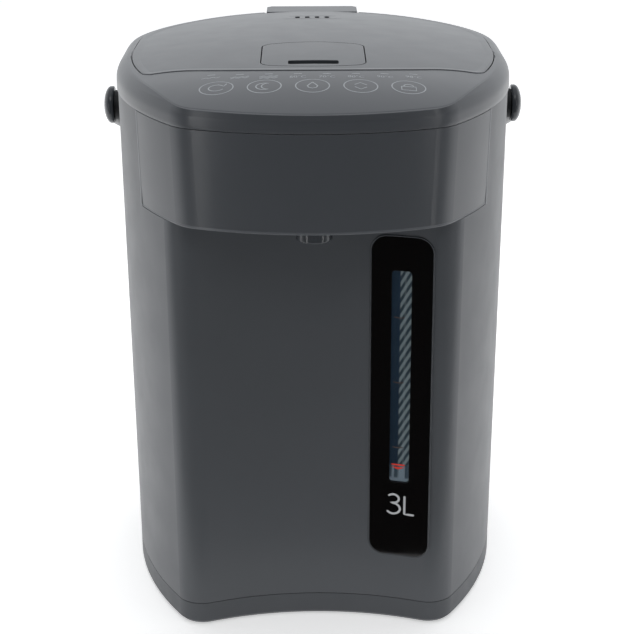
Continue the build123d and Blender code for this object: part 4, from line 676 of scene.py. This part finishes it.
# A printed line on the dome. Its edges go down into the skin, so it has low walls.
def printedStroke(name, path, width, closed=False):
    left, right = strokeEdges(path, width, 5, closed)
    lift, sunk = panel["lift"], panel["sunk"]
    grid = np.stack([drape(left, sunk), drape(left, lift), drape(right, lift), drape(right, sunk)], 1)
    return gridPiece(name, grid, "screenPrintInk", behind=(0, -30, 100), aroundU=closed, smooth=False)


def arc(x, y, radius, start, end, count=24):
    turn = np.radians(np.linspace(start, end, count))
    return np.stack([x + radius * np.cos(turn), y + radius * np.sin(turn)], -1)


# The key signs, each round its own middle.
keySigns = [
    [arc(0, 0, 2.8, 40, 330), [(0.5, 3.1), (2.6, 1.2), (3.7, 3.5)]],                # a turning arrow
    [arc(0, 0, 3.0, 60, 300), arc(1.9, 0, 2.9, 104, 256)],                          # a crescent
    [[(0, 3.2), (1.12, 1.28), (1.84, -0.24), (1.36, -1.76), (0, -2.48), (-1.36, -1.76), (-1.84, -0.24), (-1.12, 1.28),
      (0, 3.2)]],                                                                   # a drop
    [[(-2.2, 1), (0, 3), (2.2, 1)], [(-2.2, -1), (0, -3), (2.2, -1)]],              # a chevron up and one down
    [[(-2.6, 0.4), (2.6, 0.4), (2.6, -3), (-2.6, -3), (-2.6, 0.4)], arc(0, 0.8, 1.7, 0, 180)],      # a padlock
]
ringX = (np.arange(5) - 2) * panel["ringPitch"] + panel["shift"]
ringY = panel["ringY"] + ringX ** 2 / panel["ringArc"]
for number, (x, y) in enumerate(zip(ringX, ringY), 1):
    ringPath = arc(x, y, panel["ring"], 0, 360, 73)[:-1]
    printedStroke(f"key_ring_{number}", ringPath, panel["ringLine"], True)
for number, (x, y, strokes) in enumerate(zip(ringX, ringY, keySigns), 1):
    for part, path in enumerate(strokes, 1):
        printedStroke(f"key_sign_{number}_{part}", np.array(path) * panel["signScale"] + (x, y), panel["signLine"])

markX = (np.arange(panel["marks"]) - (panel["marks"] - 1) / 2) * panel["markPitch"] + panel["shift"]
markY = panel["markY"] + markX ** 2 / panel["markArc"]
labelY = panel["labelY"] + markX ** 2 / panel["markArc"]
for number, (x, y) in enumerate(zip(markX, markY), 1):
    half = panel["markSize"][0] / 2
    printedStroke(f"mark_{number}", [(x - half, y), (x, y), (x + half, y)], panel["markSize"][1])
waveX = np.linspace(-panel["waveHalf"], panel["waveHalf"], 25)
wave = panel["waveHigh"] * np.sin(waveX * panel["waveTurn"])
for number in range(3):         # under the first three marks stand one, two and three wavy lines
    for row in range(number + 1):
        level = labelY[number] + wave + (row - number / 2) * panel["wavePitch"]
        printedStroke(f"mark_sign_{number + 1}_{row + 1}", np.stack([markX[number] + waveX, level], -1),
                      panel["waveLine"])


# Numbers are filled letter curves, made a mesh and draped.
def printedText(name, words, x, y):
    curve = bpy.data.curves.new(name, "FONT")
    curve.body, curve.size, curve.resolution_u = words, panel["numberSize"], 4
    curve.align_x = curve.align_y = "CENTER"
    holder = bpy.data.objects.new(name + "_letters", curve)
    scene.collection.objects.link(holder)
    mesh = bpy.data.meshes.new_from_object(holder.evaluated_get(bpy.context.evaluated_depsgraph_get()))
    bpy.data.objects.remove(holder)
    flat = np.zeros(len(mesh.vertices) * 3)
    mesh.vertices.foreach_get("co", flat)
    flat = flat.reshape(-1, 3)[:, :2] + (x, y)
    mesh.vertices.foreach_set("co", (drape(flat, panel["lift"]) * mm).ravel())
    mesh.materials.clear()
    mesh.update()
    return placePiece(name, mesh, "screenPrintInk", "base")


for number, words in enumerate(panel["numbers"], 3):
    printedText(f"number_{words}", words + "°C", markX[number], labelY[number])
print("panel printed")

# Carrying handle: a half ellipse behind the body, swung about two domed hubs. The ellipses are half width and reach.
handle = {
    "inner": (115.9, 131.0), "outer": (121.3, 137.5), "width": 16.0, "round": 2.2, "pivotZ": 262.0, "droop": 22.0,
    "hub": 10.8, "hubRim": 117.8, "hubTop": 122.1, "hubEdge": 0.4, "hubCore": 4.0,
}


# A rounded rectangle carried along a half ellipse: across the bar it spans the inner and the outer ellipse.
def handleBar():
    middle = (np.array(handle["inner"]) + handle["outer"]) / 2
    thick = (np.array(handle["outer"]) - handle["inner"]) / 2
    turns = np.concatenate([np.linspace(quarter, quarter + 1, 7) for quarter in range(4)]) * math.pi / 2
    signs = np.repeat([[1, 1], [-1, 1], [-1, -1], [1, -1]], 7, 0)
    roundA, roundB = handle["round"] / thick[0], 2 * handle["round"] / handle["width"]
    across = (signs[:, 0] * (1 - roundA) + roundA * np.cos(turns))[:, None]
    along = (signs[:, 1] * (1 - roundB) + roundB * np.sin(turns))[:, None] * handle["width"] / 2
    swing = np.linspace(0, math.pi, 121)
    swing = np.concatenate([swing[:1], swing, swing[-1:]])
    filled = np.concatenate([[0.0], np.ones(121), [0.0]])        # the bar's ends close on its middle line
    x = (middle[0] + thick[0] * across * filled) * np.cos(swing)
    back = (middle[1] + thick[1] * across * filled) * np.sin(swing)
    lift = along * filled
    droop = math.radians(handle["droop"])
    y = back * math.cos(droop) + lift * math.sin(droop)
    z = handle["pivotZ"] - back * math.sin(droop) + lift * math.cos(droop)
    bar = gridPiece("handle_bar", np.stack([x, y, z], -1), "satinMouldedAbs", "handle", (0, 40, 245), True,
                    weld=True)
    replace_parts(bar, "carry_handle")


# A disc turned about the pivot: flat inside, a short wall, and a quarter ellipse up to its middle.
def handleHub(name, side):
    turn = np.linspace(0, 2 * math.pi, 65)[:-1][:, None]
    rise = np.linspace(0, math.pi / 2, 14)
    hub, edge, inner = handle["hub"], handle["hubEdge"], handle["inner"][0]
    radius = np.concatenate([[0.0, handle["hubCore"], hub - edge, hub], hub * np.cos(rise)])
    reach = np.concatenate([[inner, inner, inner, inner + edge],
                            handle["hubRim"] + (handle["hubTop"] - handle["hubRim"]) * np.sin(rise)])
    grid = np.stack([side * reach + 0 * turn, radius * np.cos(turn), handle["pivotZ"] + radius * np.sin(turn)], -1)
    middle = (side * handle["hubRim"], 0, handle["pivotZ"])
    return gridPiece(name, grid, "polishedMouldedAbs", "handle", middle, True, weld=True)


handleBar()
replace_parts(handleHub("handle_hub_right", 1), "handle_caps")
handleHub("handle_hub_left", -1)
print("handle made")

# Water gauge: striped scale film behind the window, level marks, a red low mark, the litre number, and a raised lip.
gauge = {
    "x": 45.3, "recess": 136.0, "bow": 165.0, "proud": 0.4, "width": 31.4, "low": 41.2, "high": 223.6, "corner": 8.0,
    "windowDepth": 1.6, "windowThick": 2.2, "filmGap": 0.6, "film": (38.6, 52.0, 83.5, 206.7), "edge": 0.1,
    "letIn": 0.02, "proudPrint": 0.03,      # the marks lie just inside the window's face, the letters on the bezel
    "marks": (105.0, 142.6, 179.2), "mark": (41.6, 47.2), "markSag": (44.4, 2.6, 0.35), "markLine": 0.45,
    "redZ": 94.6, "redBar": (41.2, 44.7, 48.4), "redLine": 0.9,
    "wedgeX": 44.8, "wedge": (3.6, 1.3, 1.5), "wedgeLift": 0.05,    # half width, gap under the bar and depth
    "digitX": 42.4, "digitTop": 77.5, "digitHigh": 0.84, "letterX": 48.4, "letterFoot": 5.2, "letterLine": 1.2,
    "lip": ((-0.05, 0.3), (0.02, -0.42), (0.3, -0.58), (0.6, -0.5), (0.85, -0.2), (0.95, 0.15)),  # out and depth
}


# A point at width x and height z, at a depth behind the hollow curve of the front.
def onHollow(x, z, depth):
    centre = -gauge["recess"] - gauge["bow"]
    return np.stack([x, centre + np.sqrt((gauge["bow"] + depth) ** 2 - x ** 2), z + 0 * x], -1)


# A printed line on the hollow front, with low walls too.
def gaugeStroke(name, path, width, depth, material):
    left, right = strokeEdges(path, width, 6)
    deep = depth + gauge["edge"]
    grid = np.stack([onHollow(edge[:, 0], edge[:, 1], level) for edge, level in
                     ((left, deep), (left, depth), (right, depth), (right, deep))], 1)
    return gridPiece(name, grid, material, "base", (45, 0, 100), smooth=False)


filmLeft, filmRight, filmLow, filmHigh = gauge["film"]
filmX, filmZ = np.meshgrid(np.linspace(filmLeft, filmRight, 28), np.linspace(filmLow, filmHigh, 60), indexing="ij")
filmDepth = gauge["windowDepth"] + gauge["windowThick"] + gauge["filmGap"] - gauge["proud"]
gridPiece("scale_film", onHollow(filmX, filmZ, filmDepth), "stripedScaleFilm", "base", (45, 0, 100))

# the level marks are shallow parabolas, and the low mark is a bar over a wedge that narrows downwards
windowFace = gauge["windowDepth"] - gauge["proud"] + gauge["letIn"]
sagX, sagHalf, sag = gauge["markSag"]
for number, level in enumerate(gauge["marks"], 1):
    markLine = [(x, level - sag + sag * ((x - sagX) / sagHalf) ** 2) for x in np.linspace(*gauge["mark"], 9)]
    gaugeStroke(f"level_mark_{number}", markLine, gauge["markLine"], windowFace, "brownScreenPrintInk")
gaugeStroke("low_mark_bar", [(x, gauge["redZ"]) for x in gauge["redBar"]], gauge["redLine"], windowFace,
            "redScreenPrintInk")
wedgeHalf, wedgeGap, wedgeDeep = gauge["wedge"]
wedgeX, wedgeT = np.meshgrid(np.linspace(-wedgeHalf, wedgeHalf, 15), np.linspace(0, 1, 5), indexing="ij")
wedgeZ = gauge["redZ"] - wedgeGap - wedgeT * wedgeDeep * (1 - np.abs(wedgeX) / wedgeHalf)
wedge = onHollow(wedgeX + gauge["wedgeX"], wedgeZ, windowFace - gauge["wedgeLift"])
gridPiece("low_mark_wedge", wedge, "redScreenPrintInk", "base", (45, 0, 100), smooth=False)

# the 3 is two arcs that meet at a short neck, drawn from its top downwards, and the L is a stem and a foot
digitDepth = -gauge["proud"] - gauge["proudPrint"]
upper = [(3.0 * math.cos(a), 3.0 * math.sin(a) - 3.0) for a in np.radians(np.linspace(150, -88, 22))]
lower = [(3.7 * math.cos(a) - 0.1, 3.75 * math.sin(a) - 10.0) for a in np.radians(np.linspace(90, -150, 24))]
neck = [(-1.4, -6.15)]
digit = [(gauge["digitX"] + x, gauge["digitTop"] + z * gauge["digitHigh"]) for x, z in upper + neck + lower]
gaugeStroke("litre_number", digit, gauge["letterLine"], digitDepth, "whiteScreenPrintInk")
letterX, letterLow = gauge["letterX"], gauge["digitTop"] - 11.26
letter = [(letterX, gauge["digitTop"] - 0.4), (letterX, 72), (letterX, letterLow), (letterX + 1.8, letterLow),
          (letterX + gauge["letterFoot"], letterLow)]
gaugeStroke("litre_letter", letter, gauge["letterLine"], digitDepth, "whiteScreenPrintInk")


# The casing's raised lip round the gauge: a low bead along a rounded rectangle on the hollow front.
def gaugeFrame():
    corner, half = gauge["corner"], gauge["width"] / 2 - gauge["corner"]
    low, high = gauge["low"] + corner, gauge["high"] - corner
    quarters = [np.radians(np.linspace(start, start + 90, 10)) for start in (0, 90, 180, 270)]
    hubs = [(half, high), (-half, high), (-half, low), (half, low)]
    centre = np.vstack([np.repeat([hub], 10, 0) for hub in hubs])
    turn = np.concatenate(quarters)
    way = np.stack([np.cos(turn), np.sin(turn)], -1)
    rows = []
    for out, depth in gauge["lip"]:
        line = centre + way * (corner + out)
        # the level sides are filled in, because the front is hollow across them
        wanted = np.linspace(0, len(line), 4 * len(line), endpoint=False)
        closed = np.vstack([line, line[:1]])
        line = np.stack([np.interp(wanted, np.arange(len(closed)), closed[:, i]) for i in (0, 1)], -1)
        rows.append(onHollow(line[:, 0] + gauge["x"], line[:, 1], depth))
    return gridPiece("gauge_frame", np.stack(rows, 1), "polishedMouldedAbs", "base", (45, 0, 130), True)


gaugeFrame()
print("gauge made")

# Camera: where the eye stands, which way it looks, and how long the lens is.
cameraPlan = {
    "place": (-0.00345, -0.94524, 0.46862),
    "turn": 0.005857,       # radians to the right of straight ahead
    "tilt": 0.344915,       # radians below level
    "roll": -0.003084,
    "lens": 92.87,
}


def makeCamera(plan):
    turn, tilt, roll = plan["turn"], plan["tilt"], plan["roll"]
    right = Vector((math.cos(turn), -math.sin(turn), 0))
    ahead = Vector((math.sin(turn) * math.cos(tilt), math.cos(turn) * math.cos(tilt), -math.sin(tilt)))
    up = right.cross(ahead)
    right, up = right * math.cos(roll) + up * math.sin(roll), up * math.cos(roll) - right * math.sin(roll)
    data = bpy.data.cameras.new("camera")
    data.lens = plan["lens"]
    data.sensor_width = 36
    data.dof.use_dof = False
    camera = bpy.data.objects.new("camera", data)
    turned = Matrix((right, up, -ahead)).transposed().to_4x4()
    camera.matrix_world = Matrix.Translation(plan["place"]) @ turned
    scene.collection.objects.link(camera)
    scene.camera = camera


makeCamera(cameraPlan)
print("camera set")

# Studio: pale floor, bright surround behind and beside, darker in front, two softboxes and two tall strips.
studio = {
    "floor": (-1.6, 1.6, -0.212, 2.4),      # left, right, front and back edge
    "apron": (-1.6, 1.6, -0.62, -0.212),    # the floor before it, which lights the front and shows in no shiny face
    "foreground": (-1.6, 1.6, -2.4, -0.62),     # the floor further out, which is only looked at
    "paint": ("#fafafa", "#fdfdfd"), "mottle": 300,
    "glow": 0.48,           # a little light of its own keeps the floor white round the foot
    "dark": 0.03, "back": 0.92, "top": 0.5, "seen": 1.0, "tint": (0.955, 0.975, 1.0, 1.0),
    "frontFrom": -0.52, "frontTo": 0.4,     # the surround brightens between these, from the front towards the sides
    "topFrom": 0.45, "topTo": 0.95,         # and turns into the ceiling between these heights
    "lamps": [
        # name, place, aimed at, size across and along, power, and whether it shows in shiny faces
        ("top_softbox", (0.0, 0.35, 1.7), (0, 0, 0.2), (0.8, 0.8), 10, False),
        ("front_softbox", (0.0, -1.05, 1.45), (0, -0.1, 0.15), (1.3, 0.6), 3.0, True),
        ("left_strip", (-1.1, -1.1, 0.0), (0, -0.1, 0.1), (0.10, 1.7), 4.2, True),
        ("right_strip", (1.2, -1.0, 0.0), (0, -0.1, 0.1), (0.10, 1.7), 3, True),
    ],
}


def makeFloor(name, edges, mirrored, lighting):
    left, right, front, back = edges
    mesh = bpy.data.meshes.new(name)
    mesh.from_pydata([(left, front, 0), (right, front, 0), (right, back, 0), (left, back, 0)], [], [(0, 1, 2, 3)])
    material, shader, add, place = startMaterial(name)
    mottle = add("TexNoise", {"Scale": perMetre(studio["mottle"]), "Detail": 2.0}, {"Vector": place})
    tone = add("Mix", {"data_type": "RGBA", 6: studio["paint"][0], 7: studio["paint"][1]}, {0: mottle})
    setNode(shader, {"Roughness": 0.9, "Emission Color": (1, 1, 1, 1), "Emission Strength": studio["glow"]},
            {"Base Color": tone})
    mesh.materials.append(material)
    floor = bpy.data.objects.new(name, mesh)
    floor.visible_glossy = floor.visible_transmission = mirrored
    floor.visible_diffuse = lighting
    scene.collection.objects.link(floor)


def makeSurround():
    world = bpy.data.worlds.new("studio")
    scene.world = world
    world.use_nodes = True
    add, smooth = partial(addNode, world.node_tree), {"interpolation_type": "SMOOTHSTEP"}
    parts = add("SeparateXYZ", links={"Vector": add("TexCoord").outputs["Generated"]})
    behind = add("MapRange", {**smooth, "From Min": studio["frontFrom"], "From Max": studio["frontTo"],
                              "To Min": studio["dark"], "To Max": studio["back"]}, {"Value": parts.outputs["Y"]})
    above = add("MapRange", {**smooth, "From Min": studio["topFrom"], "From Max": studio["topTo"]},
                {"Value": parts.outputs["Z"]})
    both = add("Mix", {"data_type": "FLOAT", 3: studio["top"]}, {0: above, 2: behind})
    ray = add("LightPath").outputs["Is Camera Ray"]
    seen = add("Mix", {"data_type": "FLOAT", 3: studio["seen"]}, {0: ray, 2: both})
    tint = add("Mix", {"data_type": "RGBA", 6: studio["tint"], 7: (1, 1, 1, 1)}, {0: ray})
    setNode(world.node_tree.nodes["Background"], None, {"Strength": seen, "Color": tint})


def makeLamp(name, place, target, size, power, mirrored):
    data = bpy.data.lights.new(name, "AREA")
    data.shape = "RECTANGLE"
    data.size, data.size_y = size
    data.energy = power
    lamp = bpy.data.objects.new(name, data)
    aim = (Vector(place) - Vector(target)).to_track_quat("Z", "Y").to_matrix().to_4x4()
    lamp.matrix_world = Matrix.Translation(place) @ aim
    lamp.visible_glossy = mirrored
    scene.collection.objects.link(lamp)


makeFloor("floor", studio["floor"], True, True)
makeFloor("floor_apron", studio["apron"], False, True)
makeFloor("floor_foreground", studio["foreground"], False, False)
makeSurround()
for lamp in studio["lamps"]:
    makeLamp(*lamp)
print("studio lit")
